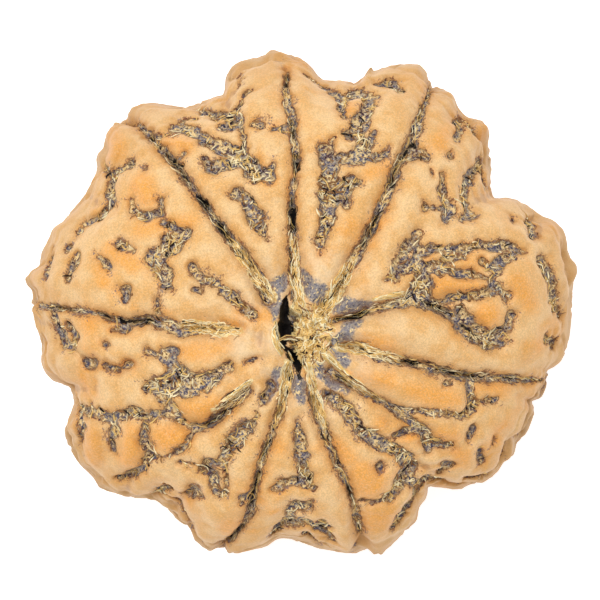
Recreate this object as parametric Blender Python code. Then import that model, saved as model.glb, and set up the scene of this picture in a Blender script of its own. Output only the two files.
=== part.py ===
"""A rudraksha bead: the ribbed stone of one fruit, seen from its stem end, resting on a small flat spot.

It is one grown piece. Ten seams run from the stem end to the blossom end, with a bulging lobe between
each two, and every lobe is split into lumps by fibrous hollows. The build starts from an ico sphere, moves
its points onto a lobed dome, sinks seams, hollows, creases and the stem pit into it by a formula, and thins
the mesh to about 11,500 triangles.

Lengths are in millimetres until the last step, +Z is up, and the bead stands on Z = 0 with its stem end on
top. Places are plan positions (x, y), seen from above, and SHIFT then brings the middle of the bead over
the origin.
"""

import math
import random

import bmesh
import bpy
import numpy as np
from mathutils import Vector, noise

MM = 0.001

# Driving dimensions. The bead is 27.6 mm wide, 25.3 mm the other way and 20.3 mm tall.
HALF_HEIGHT = 10.8
DOME_SQUARENESS = 2.25
FLAT_DEPTH = 0.75
CENTRE_HEIGHT = HALF_HEIGHT - FLAT_DEPTH

# The stem end and the blossom end lie on an axis that leans a little: the bead rests on its lumps.
STEM_END = (0.2, -1.6)
BLOSSOM_END = (-0.3, 0.7)
SHIFT = (-0.04, 0.11, 0.0)

# How deep things lie under the tops of the lobes, and how far their slopes reach.
SHOULDER_DEPTH, SHOULDER_REACH = 0.24, 0.3
PILLOW_DEPTH, PILLOW_REACH = 0.3, 1.1
HOLLOW_DEPTH, HOLLOW_REACH = 0.5, 0.08
HOLLOW_LIP = 0.06
SEAM_DEPTH, SEAM_REACH = 0.45, 1.7
GAP_DEPTH, GAP_REACH = 0.9, 0.12
CREASE_DEPTH, CREASE_REACH = 0.32, 0.28
KNOB_HEIGHT, KNOB_REACH = 0.3, 0.3
FUNNEL_DEPTH, FUNNEL_REACH = 0.7, 2.0
PIT_DEPTH, PIT_REACH = 1.1, 0.3
SWELL_HEIGHT, SWELL_LENGTH = 0.24, 2.1
DENT_HEIGHT, DENT_LENGTH = 0.07, 0.8
EDGE_WANDER, EDGE_WANDER_LENGTH = 0.12, 0.65

# Hollows are shallower where the bead is widest, and how near the widest part that starts.
BELT_FADE, BELT_HEIGHT = 0.55, 1.5

# Hollows sink level at the widest part and almost straight down from this height away from it.
STEEP_FROM, STEEPNESS = 4.0, 0.8

# The seen silhouette, counterclockwise from the right, as plan points, and how far outside it the edge is.
OUTLINE_MARGIN = 0.1
OUTLINE = [
    (13.5, -0.1), (13.6, 0.8), (13.75, 1.6), (13.35, 2.3), (13.1, 3.4), (12.6, 3.95), (12.0, 4.2),
    (11.1, 4.8), (10.3, 5.1), (9.6, 5.12), (9.45, 5.9), (9.5, 6.6), (9.35, 7.8), (9.4, 8.3),
    (9.0, 8.88), (8.3, 9.1), (7.85, 9.55), (7.6, 10.15), (7.1, 10.48), (6.6, 10.65), (6.35, 11.1),
    (6.0, 11.62), (5.3, 11.72), (4.3, 11.6), (3.8, 11.4), (3.5, 11.5), (3.1, 11.1), (2.8, 10.8),
    (2.0, 10.9), (1.15, 10.92), (0.6, 11.55), (0.0, 12.0), (-0.8, 12.25), (-1.4, 12.4),
    (-1.9, 12.1), (-2.6, 11.93), (-3.3, 11.65), (-3.7, 11.0), (-3.8, 10.25), (-4.2, 10.07),
    (-4.8, 9.85), (-5.6, 9.58), (-6.5, 9.7), (-7.3, 9.82), (-8.1, 9.65), (-8.5, 9.35),
    (-8.65, 8.95), (-9.25, 8.7), (-9.65, 8.1), (-9.75, 7.6), (-10.1, 7.1), (-10.1, 6.4),
    (-10.4, 5.7), (-10.75, 5.1), (-11.2, 4.6), (-11.7, 3.95), (-12.2, 3.6), (-12.5, 2.95),
    (-12.8, 2.4), (-12.95, 1.75), (-13.4, 1.4), (-13.65, 0.9), (-13.3, 0.4), (-13.3, -0.3),
    (-13.1, -1.3), (-12.85, -2.1), (-12.8, -3.2), (-12.4, -3.9), (-11.8, -4.2), (-11.4, -4.4),
    (-11.25, -5.1), (-11.5, -5.9), (-11.7, -6.55), (-11.45, -7.3), (-11.0, -8.1), (-10.3, -8.8),
    (-9.9, -9.35), (-9.0, -9.65), (-8.2, -9.85), (-7.3, -9.9), (-6.7, -10.25), (-6.1, -10.9),
    (-5.5, -11.3), (-5.2, -11.95), (-4.5, -12.45), (-3.9, -12.28), (-3.4, -12.58), (-2.4, -12.4),
    (-1.6, -12.2), (-0.9, -11.83), (0.1, -12.05), (1.0, -12.35), (2.6, -12.58), (3.3, -12.38),
    (3.9, -12.65), (4.5, -12.2), (5.2, -11.5), (5.8, -10.95), (5.95, -10.3), (6.3, -9.7),
    (6.4, -9.3), (7.2, -9.35), (7.9, -9.42), (8.5, -9.15), (9.2, -9.0), (9.8, -8.5), (10.1, -8.05),
    (10.6, -7.7), (10.8, -7.1), (11.3, -6.5), (11.65, -5.5), (11.5, -5.1), (12.0, -4.8),
    (12.25, -4.1), (12.3, -3.55), (12.9, -3.1), (13.25, -2.3), (13.45, -1.2),
]

# The ten seams, from the stem end outwards: (x, y, half width).
SEAMS = [
    [(-0.2, 0.2, 0.3), (-0.3, 1.3, 0.3), (-0.35, 3.2, 0.22), (-0.42, 4.3, 0.25),
     (-0.38, 5.2, 0.18), (-0.25, 6.1, 0.13), (-0.2, 6.9, 0.2), (-0.32, 7.9, 0.2),
     (-0.42, 8.9, 0.24), (-0.6, 9.7, 0.24), (-0.68, 10.4, 0.15), (-0.6, 10.9, 0.12)],
    [(1.2, -0.5, 0.25), (1.8, 0.3, 0.25), (2.2, 1.1, 0.25), (2.7, 2.1, 0.28), (3.4, 3.3, 0.26),
     (4.0, 4.6, 0.22), (4.5, 5.7, 0.26), (4.8, 6.7, 0.24), (5.45, 7.6, 0.32), (5.75, 8.7, 0.26),
     (6.05, 9.6, 0.14), (6.2, 10.1, 0.1)],
    [(1.6, -1.0, 0.1), (2.9, -0.75, 0.14), (3.6, -0.45, 0.18), (4.6, -0.2, 0.26), (5.6, 0.05, 0.4),
     (6.5, -0.25, 0.3), (7.3, -0.65, 0.26), (8.0, -1.2, 0.28), (8.7, -1.8, 0.3), (9.2, -2.2, 0.2)],
    [(2.2, -2.2, 0.15), (2.9, -2.35, 0.28), (3.8, -2.7, 0.32), (4.7, -2.98, 0.24),
     (5.6, -3.12, 0.2), (6.8, -3.45, 0.25), (8.0, -3.75, 0.28), (9.0, -3.85, 0.26),
     (10.1, -3.85, 0.2), (11.0, -3.9, 0.2), (11.45, -3.85, 0.1)],
    [(1.5, -3.5, 0.25), (2.2, -4.05, 0.15), (3.3, -4.7, 0.15), (4.3, -5.15, 0.2),
     (5.2, -5.75, 0.28), (6.1, -6.5, 0.28), (6.7, -7.05, 0.22), (7.4, -7.1, 0.12)],
    [(0.4, -3.6, 0.12), (0.6, -4.5, 0.24), (0.85, -5.5, 0.28), (1.2, -6.5, 0.26), (1.6, -7.5, 0.2),
     (1.95, -8.3, 0.2), (2.25, -9.0, 0.14), (2.5, -9.6, 0.12), (2.72, -10.2, 0.18),
     (2.8, -10.9, 0.2), (3.0, -11.5, 0.08)],
    [(-0.5, -3.4, 0.2), (-0.75, -4.5, 0.22), (-1.0, -5.5, 0.22), (-1.32, -6.4, 0.22),
     (-1.6, -7.1, 0.2), (-1.9, -8.0, 0.18), (-2.1, -8.9, 0.18), (-2.3, -9.6, 0.22),
     (-2.42, -10.4, 0.22), (-2.75, -10.95, 0.16), (-3.3, -11.5, 0.2), (-3.85, -12.05, 0.12)],
    [(-2.5, -4.4, 0.15), (-3.1, -4.9, 0.28), (-3.7, -5.5, 0.26), (-4.3, -6.05, 0.24),
     (-4.9, -6.3, 0.26), (-5.5, -6.2, 0.14), (-6.0, -5.95, 0.14)],
    [(-3.0, -1.45, 0.12), (-3.7, -1.45, 0.28), (-4.9, -1.42, 0.3), (-5.9, -1.5, 0.34),
     (-6.6, -1.2, 0.3), (-7.3, -0.98, 0.24), (-8.2, -1.08, 0.2), (-9.1, -1.0, 0.2),
     (-9.8, -0.65, 0.14), (-10.9, -0.48, 0.15), (-12.0, -0.35, 0.18), (-12.7, -0.1, 0.15),
     (-13.2, 0.15, 0.1)],
    [(-1.6, 0.0, 0.25), (-2.0, 1.0, 0.28), (-2.7, 2.1, 0.28), (-3.3, 2.9, 0.28),
     (-4.0, 3.75, 0.24), (-4.7, 4.75, 0.2), (-5.4, 5.7, 0.2), (-6.0, 6.55, 0.26),
     (-6.75, 7.4, 0.22), (-7.3, 8.0, 0.16), (-7.75, 8.5, 0.14), (-8.2, 8.8, 0.12)],
]

# Fibrous hollows between the lumps, and round pits, by the lobe that they lie in: (x, y, half width).
HOLLOWS = [
    [(-1.65, 3.0, 0.12), (-1.9, 3.5, 0.3), (-2.25, 4.2, 0.4), (-2.65, 4.95, 0.38),
     (-3.0, 5.3, 0.28), (-3.25, 5.15, 0.15)],
    [(-5.0, 8.2, 0.2), (-4.4, 7.7, 0.3), (-3.6, 7.4, 0.36), (-3.0, 7.1, 0.36), (-2.4, 6.7, 0.3),
     (-1.7, 6.1, 0.22)],
    [(-4.7, 6.9, 0.16), (-4.3, 6.5, 0.34), (-3.7, 6.65, 0.34), (-3.1, 6.85, 0.3)],
    [(-2.5, 6.2, 0.2), (-2.1, 6.3, 0.36), (-1.6, 6.2, 0.24), (-1.4, 6.4, 0.08)],
    [(-6.15, 8.3, 0.22), (-5.7, 8.35, 0.3), (-5.0, 8.1, 0.24)],
    [(-6.0, 8.6, 0.15), (-5.6, 8.78, 0.13), (-5.05, 8.8, 0.1)],
    [(-7.4, 8.2, 0.08), (-6.8, 7.97, 0.1), (-6.3, 8.1, 0.12)],
    [(-5.75, 7.15, 0.18), (-5.95, 6.95, 0.12)],
    [(-2.7, 7.4, 0.2), (-2.8, 8.0, 0.15), (-2.95, 8.7, 0.2), (-3.1, 9.05, 0.22)],
    [(-5.3, 9.4, 0.06), (-4.5, 9.1, 0.14), (-3.8, 9.03, 0.24), (-3.2, 9.1, 0.26), (-2.9, 9.7, 0.1),
     (-2.5, 10.25, 0.09)],
    [(-3.85, 8.5, 0.2), (-3.35, 8.5, 0.26)],
    [(-4.5, 9.0, 0.06), (-4.0, 8.75, 0.1)],
    [(-2.3, 8.6, 0.14), (-2.05, 8.65, 0.24), (-1.75, 8.7, 0.1)],
    [(-2.95, 10.5, 0.07), (-2.88, 10.95, 0.07)],
    [(-3.2, 11.42, 0.08)],
    [(-1.35, 8.4, 0.18), (-0.85, 8.42, 0.22)],
    [(1.0, 2.3, 0.12), (1.05, 2.9, 0.18), (1.25, 3.6, 0.3), (1.4, 4.5, 0.46), (1.55, 5.3, 0.5),
     (1.4, 6.0, 0.36), (1.4, 6.7, 0.34), (1.05, 7.3, 0.24)],
    [(2.2, 4.6, 0.2), (2.1, 5.3, 0.32), (2.5, 5.8, 0.32), (2.95, 5.7, 0.14)],
    [(1.9, 7.0, 0.3), (2.4, 6.95, 0.36), (3.0, 7.1, 0.42), (3.35, 7.6, 0.34), (3.6, 8.2, 0.2)],
    [(3.6, 7.0, 0.2), (4.2, 7.1, 0.18)],
    [(2.3, 8.2, 0.28), (2.8, 8.45, 0.36), (3.05, 8.95, 0.32), (3.3, 9.5, 0.26), (3.4, 9.9, 0.24)],
    [(3.0, 7.8, 0.24), (2.9, 8.3, 0.24)],
    [(2.2, 8.9, 0.12), (2.0, 9.35, 0.16), (2.05, 9.8, 0.2), (2.6, 10.02, 0.32), (3.2, 10.0, 0.3),
     (3.75, 9.85, 0.12)],
    [(1.95, 9.85, 0.16), (1.4, 10.2, 0.16), (1.0, 10.45, 0.12), (0.7, 10.7, 0.12),
     (0.3, 10.9, 0.08)],
    [(3.95, 10.5, 0.24), (4.4, 10.62, 0.36), (4.8, 10.35, 0.26)],
    [(4.2, 1.0, 0.14), (4.6, 1.15, 0.24), (4.75, 1.6, 0.3), (5.1, 2.2, 0.3), (5.3, 2.8, 0.3),
     (5.8, 3.15, 0.2)],
    [(5.1, 1.5, 0.24), (5.6, 1.7, 0.34), (5.9, 2.3, 0.32), (6.6, 2.55, 0.22), (7.4, 2.5, 0.24),
     (8.2, 2.5, 0.24), (8.8, 2.8, 0.2), (9.5, 2.6, 0.28), (10.2, 2.65, 0.32), (11.1, 2.4, 0.1)],
    [(5.9, 1.0, 0.3), (6.2, 1.5, 0.3), (6.9, 1.75, 0.26), (7.4, 2.0, 0.26), (8.0, 2.2, 0.14)],
    [(6.8, 1.5, 0.24), (7.6, 1.4, 0.22), (8.5, 1.25, 0.18), (9.4, 1.05, 0.15)],
    [(9.0, 1.9, 0.2), (9.3, 1.5, 0.2), (9.7, 1.75, 0.28), (10.2, 2.1, 0.26), (10.6, 2.3, 0.16)],
    [(9.4, 1.0, 0.12), (9.8, 1.5, 0.14)],
    [(5.2, -0.1, 0.24), (5.8, 0.4, 0.42), (6.15, 0.9, 0.34)],
    [(6.6, -0.2, 0.2), (7.4, 0.0, 0.18), (8.3, 0.2, 0.22), (9.2, 0.35, 0.28), (9.7, 0.6, 0.26),
     (10.1, 0.15, 0.24)],
    [(7.9, -0.4, 0.26), (8.2, -1.0, 0.26), (8.8, -1.65, 0.3), (9.5, -1.8, 0.28),
     (10.1, -1.4, 0.24), (10.4, -0.8, 0.24)],
    [(8.6, -1.9, 0.3), (9.2, -2.2, 0.3), (9.7, -2.2, 0.2), (10.2, -2.15, 0.08)],
    [(7.6, -1.35, 0.16), (8.2, -1.75, 0.14)],
    [(6.95, 6.1, 0.1), (6.95, 5.5, 0.18), (7.15, 4.9, 0.26), (7.3, 4.35, 0.34), (7.2, 3.85, 0.2)],
    [(6.15, 4.6, 0.16), (6.9, 4.5, 0.16)],
    [(8.8, 6.8, 0.2), (8.4, 6.2, 0.28), (8.1, 5.4, 0.2), (8.15, 4.6, 0.24), (8.35, 4.15, 0.28),
     (8.0, 4.0, 0.18)],
    [(8.9, 6.4, 0.14), (8.95, 5.6, 0.15)],
    [(7.5, 8.6, 0.2), (7.9, 8.65, 0.28), (8.3, 8.3, 0.24), (8.7, 7.95, 0.12)],
    [(7.7, 8.3, 0.26), (7.55, 7.8, 0.14)],
    [(7.3, 7.05, 0.2)],
    [(6.5, 6.3, 0.06), (6.6, 6.0, 0.06)],
    [(5.0, 7.05, 0.2), (5.6, 7.25, 0.28), (6.2, 7.05, 0.24)],
    [(11.1, 4.1, 0.16), (11.3, 3.7, 0.28), (11.45, 3.15, 0.24)],
    [(10.45, 3.95, 0.14)],
    [(11.85, 2.0, 0.26), (12.1, 1.3, 0.3), (12.3, 0.5, 0.3), (12.5, -0.3, 0.3),
     (12.75, -0.9, 0.14)],
    [(12.75, 2.1, 0.06), (12.9, 1.3, 0.07)],
    [(12.05, -1.9, 0.18), (12.35, -2.15, 0.28)],
    [(7.1, -4.15, 0.1), (7.4, -4.0, 0.1)],
    [(8.3, -4.1, 0.16), (8.45, -4.7, 0.28), (8.5, -5.2, 0.3), (8.2, -5.7, 0.24),
     (7.7, -5.75, 0.16)],
    [(4.9, -5.4, 0.16), (6.0, -5.45, 0.18), (6.9, -5.55, 0.16), (7.6, -5.7, 0.16)],
    [(8.9, -5.0, 0.12), (9.6, -4.9, 0.2)],
    [(8.45, -6.4, 0.26), (8.2, -6.8, 0.2)],
    [(8.7, -7.3, 0.12), (8.7, -7.75, 0.2)],
    [(10.0, -7.2, 0.12), (9.85, -7.55, 0.16)],
    [(9.45, -7.05, 0.09)],
    [(11.2, -5.4, 0.16)],
    [(8.0, -8.6, 0.07), (8.5, -8.55, 0.1), (9.2, -8.6, 0.12)],
    [(6.85, -8.4, 0.14), (7.1, -8.1, 0.3)],
    [(6.1, -8.8, 0.1), (6.8, -8.85, 0.12), (7.6, -9.15, 0.08)],
    [(1.2, -4.6, 0.24), (1.9, -5.0, 0.32), (2.5, -5.6, 0.34), (3.0, -6.5, 0.34), (3.6, -6.9, 0.34),
     (4.3, -7.2, 0.34), (5.0, -7.5, 0.3)],
    [(4.9, -7.6, 0.3), (5.4, -8.2, 0.42), (5.0, -8.7, 0.34), (4.8, -9.3, 0.32), (4.4, -9.65, 0.26),
     (3.6, -9.9, 0.1), (2.9, -9.9, 0.08)],
    [(5.4, -8.8, 0.28), (5.9, -9.1, 0.2), (5.75, -9.8, 0.16), (5.3, -10.5, 0.1),
     (4.9, -11.2, 0.12)],
    [(3.85, -8.15, 0.26)],
    [(4.7, -6.75, 0.14), (5.2, -6.4, 0.24), (5.9, -6.3, 0.24)],
    [(6.2, -6.9, 0.24), (6.3, -7.35, 0.2)],
    [(-0.1, -5.8, 0.12), (-0.1, -6.6, 0.24), (0.05, -7.4, 0.32), (0.15, -8.2, 0.34),
     (0.25, -8.9, 0.38)],
    [(0.0, -8.8, 0.3), (-0.7, -8.95, 0.26), (-1.25, -9.2, 0.16)],
    [(0.3, -9.05, 0.24), (0.7, -9.2, 0.1)],
    [(0.35, -10.05, 0.26), (-0.3, -10.05, 0.28), (-0.6, -10.7, 0.26), (-1.3, -11.4, 0.12)],
    [(-0.5, -10.95, 0.22), (0.05, -10.7, 0.22), (0.7, -10.95, 0.22), (1.25, -11.25, 0.26),
     (1.6, -11.6, 0.14)],
    [(1.0, -10.8, 0.12), (1.4, -11.0, 0.12)],
    [(0.3, -11.35, 0.26), (0.85, -11.8, 0.2)],
    [(-1.4, -4.1, 0.24), (-1.7, -4.7, 0.18), (-1.95, -5.2, 0.12)],
    [(-2.1, -5.6, 0.14), (-2.3, -6.1, 0.24), (-2.75, -6.5, 0.4), (-3.2, -6.95, 0.48),
     (-3.6, -7.4, 0.3), (-3.85, -7.7, 0.16)],
    [(-5.85, -7.9, 0.14), (-5.2, -8.1, 0.16)],
    [(-4.8, -8.3, 0.28), (-4.3, -8.5, 0.34), (-4.1, -9.1, 0.24), (-4.1, -9.5, 0.16)],
    [(-4.6, -8.0, 0.14), (-3.9, -8.0, 0.15), (-3.55, -8.6, 0.15), (-3.65, -9.3, 0.14),
     (-4.0, -9.7, 0.1)],
    [(-5.5, -9.6, 0.14), (-5.1, -9.4, 0.32)],
    [(-7.15, -9.5, 0.12), (-6.6, -9.2, 0.24)],
    [(-6.0, -9.9, 0.1), (-5.6, -10.4, 0.14), (-5.25, -10.9, 0.12)],
    [(-2.3, -9.45, 0.12), (-2.75, -9.65, 0.2)],
    [(-3.5, -3.2, 0.2), (-4.1, -3.7, 0.34), (-4.7, -4.05, 0.46), (-5.5, -4.2, 0.58),
     (-6.3, -4.25, 0.6), (-7.0, -4.25, 0.46), (-7.5, -4.2, 0.28)],
    [(-7.6, -2.5, 0.12), (-6.9, -2.75, 0.24), (-6.3, -3.15, 0.36), (-5.8, -3.6, 0.36)],
    [(-6.8, -2.5, 0.14), (-6.1, -2.5, 0.18)],
    [(-6.6, -4.8, 0.36), (-6.4, -5.3, 0.36), (-6.1, -5.7, 0.28)],
    [(-7.2, -5.6, 0.22), (-6.5, -5.65, 0.2), (-5.9, -6.0, 0.18)],
    [(-7.4, -5.8, 0.2), (-8.0, -5.6, 0.22), (-8.7, -5.6, 0.2), (-9.3, -5.85, 0.26),
     (-10.0, -5.5, 0.2), (-10.6, -5.4, 0.22)],
    [(-9.2, -5.9, 0.26), (-9.05, -6.2, 0.26), (-9.25, -6.8, 0.18), (-9.1, -7.4, 0.1)],
    [(-10.7, -5.3, 0.18), (-10.9, -4.7, 0.14), (-11.2, -4.2, 0.12), (-11.8, -3.9, 0.08)],
    [(-11.0, -5.6, 0.14), (-10.85, -6.2, 0.15), (-10.85, -6.8, 0.12)],
    [(-10.5, -7.35, 0.08)],
    [(-7.6, -6.1, 0.16), (-7.65, -6.9, 0.2), (-7.35, -7.45, 0.2), (-7.55, -8.05, 0.13),
     (-8.1, -8.5, 0.15), (-8.85, -8.7, 0.15)],
    [(-7.2, -7.6, 0.12), (-6.6, -7.68, 0.08), (-6.0, -7.5, 0.08)],
    [(-10.4, -8.7, 0.06), (-9.7, -9.05, 0.06)],
    [(-10.5, -3.15, 0.2), (-10.2, -3.1, 0.3)],
    [(-9.6, -3.25, 0.14), (-9.2, -3.35, 0.1), (-8.4, -3.3, 0.14)],
    [(-9.5, -2.2, 0.2)],
    [(-11.9, -0.6, 0.18), (-11.85, -1.4, 0.28), (-11.55, -2.0, 0.26), (-11.15, -2.35, 0.2),
     (-10.95, -1.6, 0.1), (-11.1, -0.7, 0.12)],
    [(-12.3, -2.1, 0.12), (-12.2, -2.5, 0.08)],
    [(-9.1, -1.45, 0.16), (-8.5, -1.35, 0.15)],
    [(-2.2, -0.7, 0.18), (-2.7, -0.4, 0.22), (-3.4, 0.2, 0.28), (-4.0, 0.75, 0.2),
     (-4.7, 1.0, 0.28), (-5.3, 1.6, 0.2)],
    [(-5.2, 0.5, 0.16), (-4.9, 0.45, 0.12)],
    [(-6.9, 0.05, 0.15), (-6.95, -0.6, 0.12)],
    [(-6.4, 0.6, 0.2), (-6.6, 1.1, 0.28), (-7.0, 1.6, 0.28), (-7.4, 2.05, 0.24), (-6.8, 2.3, 0.34),
     (-6.2, 2.8, 0.5), (-5.8, 3.2, 0.4)],
    [(-6.3, 3.6, 0.2), (-6.7, 3.8, 0.16)],
    [(-8.9, 2.85, 0.13), (-8.3, 2.55, 0.15)],
    [(-8.3, 4.9, 0.12), (-8.05, 4.3, 0.2), (-7.5, 4.05, 0.25), (-6.9, 4.3, 0.26),
     (-6.8, 5.1, 0.14)],
    [(-7.6, 6.5, 0.16)],
    [(-9.6, 6.7, 0.13), (-9.25, 6.15, 0.2), (-8.7, 6.4, 0.22), (-8.2, 6.8, 0.24)],
    [(-9.15, 6.0, 0.18), (-9.25, 5.4, 0.24), (-9.1, 4.8, 0.24), (-9.8, 4.1, 0.24),
     (-10.5, 3.7, 0.2), (-10.85, 3.3, 0.14)],
    [(-11.3, 2.5, 0.22)],
    [(-10.9, 2.1, 0.18), (-11.15, 1.5, 0.24), (-11.3, 1.05, 0.12)],
    [(-12.0, 2.4, 0.18), (-12.1, 1.7, 0.15), (-12.25, 1.2, 0.1)],
    [(-9.85, 2.1, 0.18), (-9.3, 1.6, 0.22)],
    [(-8.65, 0.5, 0.14), (-8.45, 0.4, 0.2), (-8.5, -0.05, 0.14)],
]

# Places where a seam or the stem pit has opened to a dark gap.
GAPS = [
    [(-0.6, 0.45, 0.06), (-0.8, -0.1, 0.14), (-0.88, -0.7, 0.2), (-0.9, -1.3, 0.34),
     (-0.85, -1.8, 0.22), (-0.78, -2.3, 0.22), (-0.4, -2.7, 0.2), (-0.12, -2.95, 0.26),
     (-0.1, -3.4, 0.12), (0.0, -3.85, 0.05)],
    [(-0.9, -0.8, 0.18), (-0.5, -1.1, 0.2), (-0.25, -1.45, 0.14)],
    [(-0.5, -3.75, 0.1)],
    [(2.2, -0.9, 0.06), (2.9, -0.8, 0.08), (3.4, -0.55, 0.06)],
    [(-3.9, 3.6, 0.09), (-3.5, 3.1, 0.07), (-3.1, 2.4, 0.1)],
    [(-5.1, 5.3, 0.07), (-4.95, 5.05, 0.1), (-4.6, 4.7, 0.06)],
    [(-6.2, 6.9, 0.08), (-5.9, 6.6, 0.12)],
    [(-0.35, 4.5, 0.14), (-0.3, 4.1, 0.14), (-0.35, 3.5, 0.08)],
    [(-0.15, 6.6, 0.13), (-0.15, 6.35, 0.1)],
    [(5.55, 8.1, 0.1), (5.6, 7.6, 0.1), (5.85, 7.45, 0.12)],
    [(4.6, 5.75, 0.14)],
    [(5.1, -2.98, 0.08), (5.8, -3.15, 0.07)],
    [(-1.3, -6.4, 0.15)],
    [(-9.0, -0.95, 0.1), (-8.6, -1.1, 0.1)],
    [(-7.6, -1.1, 0.1)],
    [(-6.55, 2.2, 0.1)],
]

# Soft furrows where one lump meets the next with no hollow between them: (x, y, half width).
CREASES = [
    [(-3.0, 11.35, 0.1), (-2.4, 11.75, 0.1), (-1.6, 11.85, 0.1), (-1.05, 11.55, 0.12),
     (-0.75, 11.15, 0.12)],
    [(-3.3, 10.2, 0.1), (-3.5, 9.8, 0.12), (-3.5, 9.4, 0.1)],
    [(3.2, 11.3, 0.08), (2.9, 10.7, 0.1), (2.6, 10.4, 0.1)],
    [(6.3, 10.3, 0.1), (6.45, 10.55, 0.12), (6.6, 10.8, 0.1)],
    [(8.6, 7.95, 0.08), (9.0, 7.75, 0.1), (9.4, 7.7, 0.1)],
    [(9.15, 7.45, 0.1), (9.0, 6.9, 0.1)],
    [(8.5, 4.75, 0.12), (9.0, 5.0, 0.14), (9.5, 5.2, 0.12)],
    [(12.15, 4.15, 0.14), (11.8, 3.65, 0.14), (11.6, 3.1, 0.1)],
    [(12.65, 2.5, 0.06), (12.85, 2.0, 0.1), (13.0, 1.5, 0.1), (13.0, 1.0, 0.06)],
    [(11.75, -4.7, 0.1), (11.4, -5.1, 0.12), (11.2, -5.45, 0.12)],
    [(11.1, -5.6, 0.1), (10.75, -6.1, 0.12), (10.5, -6.7, 0.12), (10.1, -7.2, 0.1)],
    [(6.0, -8.1, 0.08), (6.35, -8.35, 0.1), (6.9, -8.45, 0.08)],
    [(6.6, -8.75, 0.1), (7.3, -8.95, 0.1), (7.8, -9.2, 0.08)],
    [(5.5, -9.9, 0.1), (5.35, -10.4, 0.12), (4.95, -10.85, 0.12), (4.65, -11.5, 0.1),
     (4.3, -11.9, 0.08)],
    [(2.95, -11.6, 0.08), (3.2, -12.3, 0.1)],
    [(-6.4, -10.5, 0.1), (-6.0, -9.9, 0.12), (-5.4, -9.5, 0.1)],
    [(-8.6, -9.7, 0.1), (-8.2, -9.1, 0.12), (-8.3, -8.6, 0.1)],
    [(-11.3, -4.3, 0.14), (-10.7, -4.35, 0.12), (-10.0, -4.3, 0.1)],
    [(-13.3, -0.6, 0.1), (-12.8, -0.9, 0.1), (-12.2, -1.2, 0.1)],
    [(-10.3, 5.2, 0.12), (-9.8, 4.7, 0.12), (-9.2, 4.5, 0.08)],
    [(-10.7, -2.75, 0.06), (-9.8, -3.1, 0.08), (-8.9, -3.35, 0.08), (-8.2, -3.15, 0.05)],
    [(-1.9, -0.9, 0.03), (-2.05, -1.6, 0.04), (-1.85, -2.4, 0.03)],
]

# Lumps that stand a little proud of the skin around them: (x, y, half width).
KNOBS = [
    [(6.9, 0.75, 0.5), (7.8, 0.72, 0.34), (8.9, 0.7, 0.16)],
    [(9.25, -0.75, 0.6)],
    [(8.1, 1.85, 0.2), (8.8, 1.82, 0.2)],
    [(6.4, 2.0, 0.2)],
    [(2.6, 9.4, 0.42)],
    [(3.1, -8.6, 0.7), (3.4, -9.0, 0.8)],
    [(-6.7, -6.8, 0.6), (-5.9, -6.8, 0.6)],
    [(-8.15, -6.5, 0.36), (-8.3, -7.7, 0.64)],
    [(-5.6, -5.3, 0.3), (-4.8, -5.45, 0.5), (-4.3, -5.1, 0.36)],
    [(-10.1, -6.6, 0.5), (-10.0, -7.5, 0.6)],
    [(6.9, -6.55, 0.4), (7.5, -6.6, 0.3)],
    [(4.0, -6.1, 0.34)],
    [(-9.1, 7.9, 0.6), (-8.9, 7.3, 0.7)],
    [(-7.7, 5.6, 0.6), (-7.5, 5.1, 0.5)],
    [(9.0, 8.4, 0.34)],
    [(-6.3, 7.75, 0.28), (-5.5, 7.55, 0.34)],
]

# The blind stem pit, which the real bead's fibres plug: (x, y, half width).
STEM_PIT = [[(-0.5, -0.6, 0.3), (0.3, -1.3, 0.7), (0.5, -2.1, 0.6), (-0.1, -3.0, 0.2)]]
BLOSSOM_PIT_WIDTH = 0.55

# Plan points of hollows were read where their floors show, and a floor lies this far under the dome.
FLOOR_DEPTH = 0.8
# How much a height difference counts in a distance to a hollow that was read in plan, which lets it run
# down the flank.
FLANK_STRETCH = 0.5

# The lower half carries the same kind of hollows, placed at random with a seed.
LOWER_HOLLOWS, LOWER_SEED = 190, 11
LOWER_SPACING = 1.05

BALL_SUBDIVISIONS = 8
MOST_TRIANGLES = 11400


def closed_curve(points, steps):
    """A smooth closed curve through the points, as an array of plan points."""
    points = np.array(points, float)
    before, after = np.roll(points, 1, axis=0), np.roll(points, -1, axis=0)
    beyond = np.roll(points, -2, axis=0)
    spans = []
    for t in np.arange(steps) / steps:
        spans.append(
            0.5 * (2 * points + (after - before) * t + (2 * before - 5 * points + 4 * after - beyond) * t**2
                   + (3 * points - before - 3 * after + beyond) * t**3)
        )
    return np.stack(spans, axis=1).reshape(-1, 2)


def outline_radii():
    """Radius of the silhouette for each of 720 bearings, as traced and as smoothed over a lobe."""
    curve = closed_curve(OUTLINE, 8)
    bearing = np.arctan2(curve[:, 1], curve[:, 0])
    radius = np.hypot(curve[:, 0], curve[:, 1]) + OUTLINE_MARGIN
    order = np.argsort(bearing)
    steps = np.radians(np.arange(720) / 2 - 180)
    traced = np.interp(steps, bearing[order], radius[order], period=2 * math.pi)
    spread = np.exp(-(np.arange(-60, 61) / 22) ** 2)
    wrapped = np.concatenate([traced[-60:], traced, traced[:60]])
    smooth = np.convolve(wrapped, spread / spread.sum(), mode="valid")
    return steps, traced, smooth


STEPS, TRACED, SMOOTH = outline_radii()


def radius_at(bearing, height_share):
    """Dome radius towards a bearing: the traced outline round the middle, smooth lobes above and below."""
    near_middle = np.exp(-((height_share / 0.55) ** 2))
    traced = np.interp(bearing, STEPS, TRACED, period=2 * math.pi)
    smooth = np.interp(bearing, STEPS, SMOOTH, period=2 * math.pi)
    return smooth + near_middle * (traced - smooth)


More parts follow.
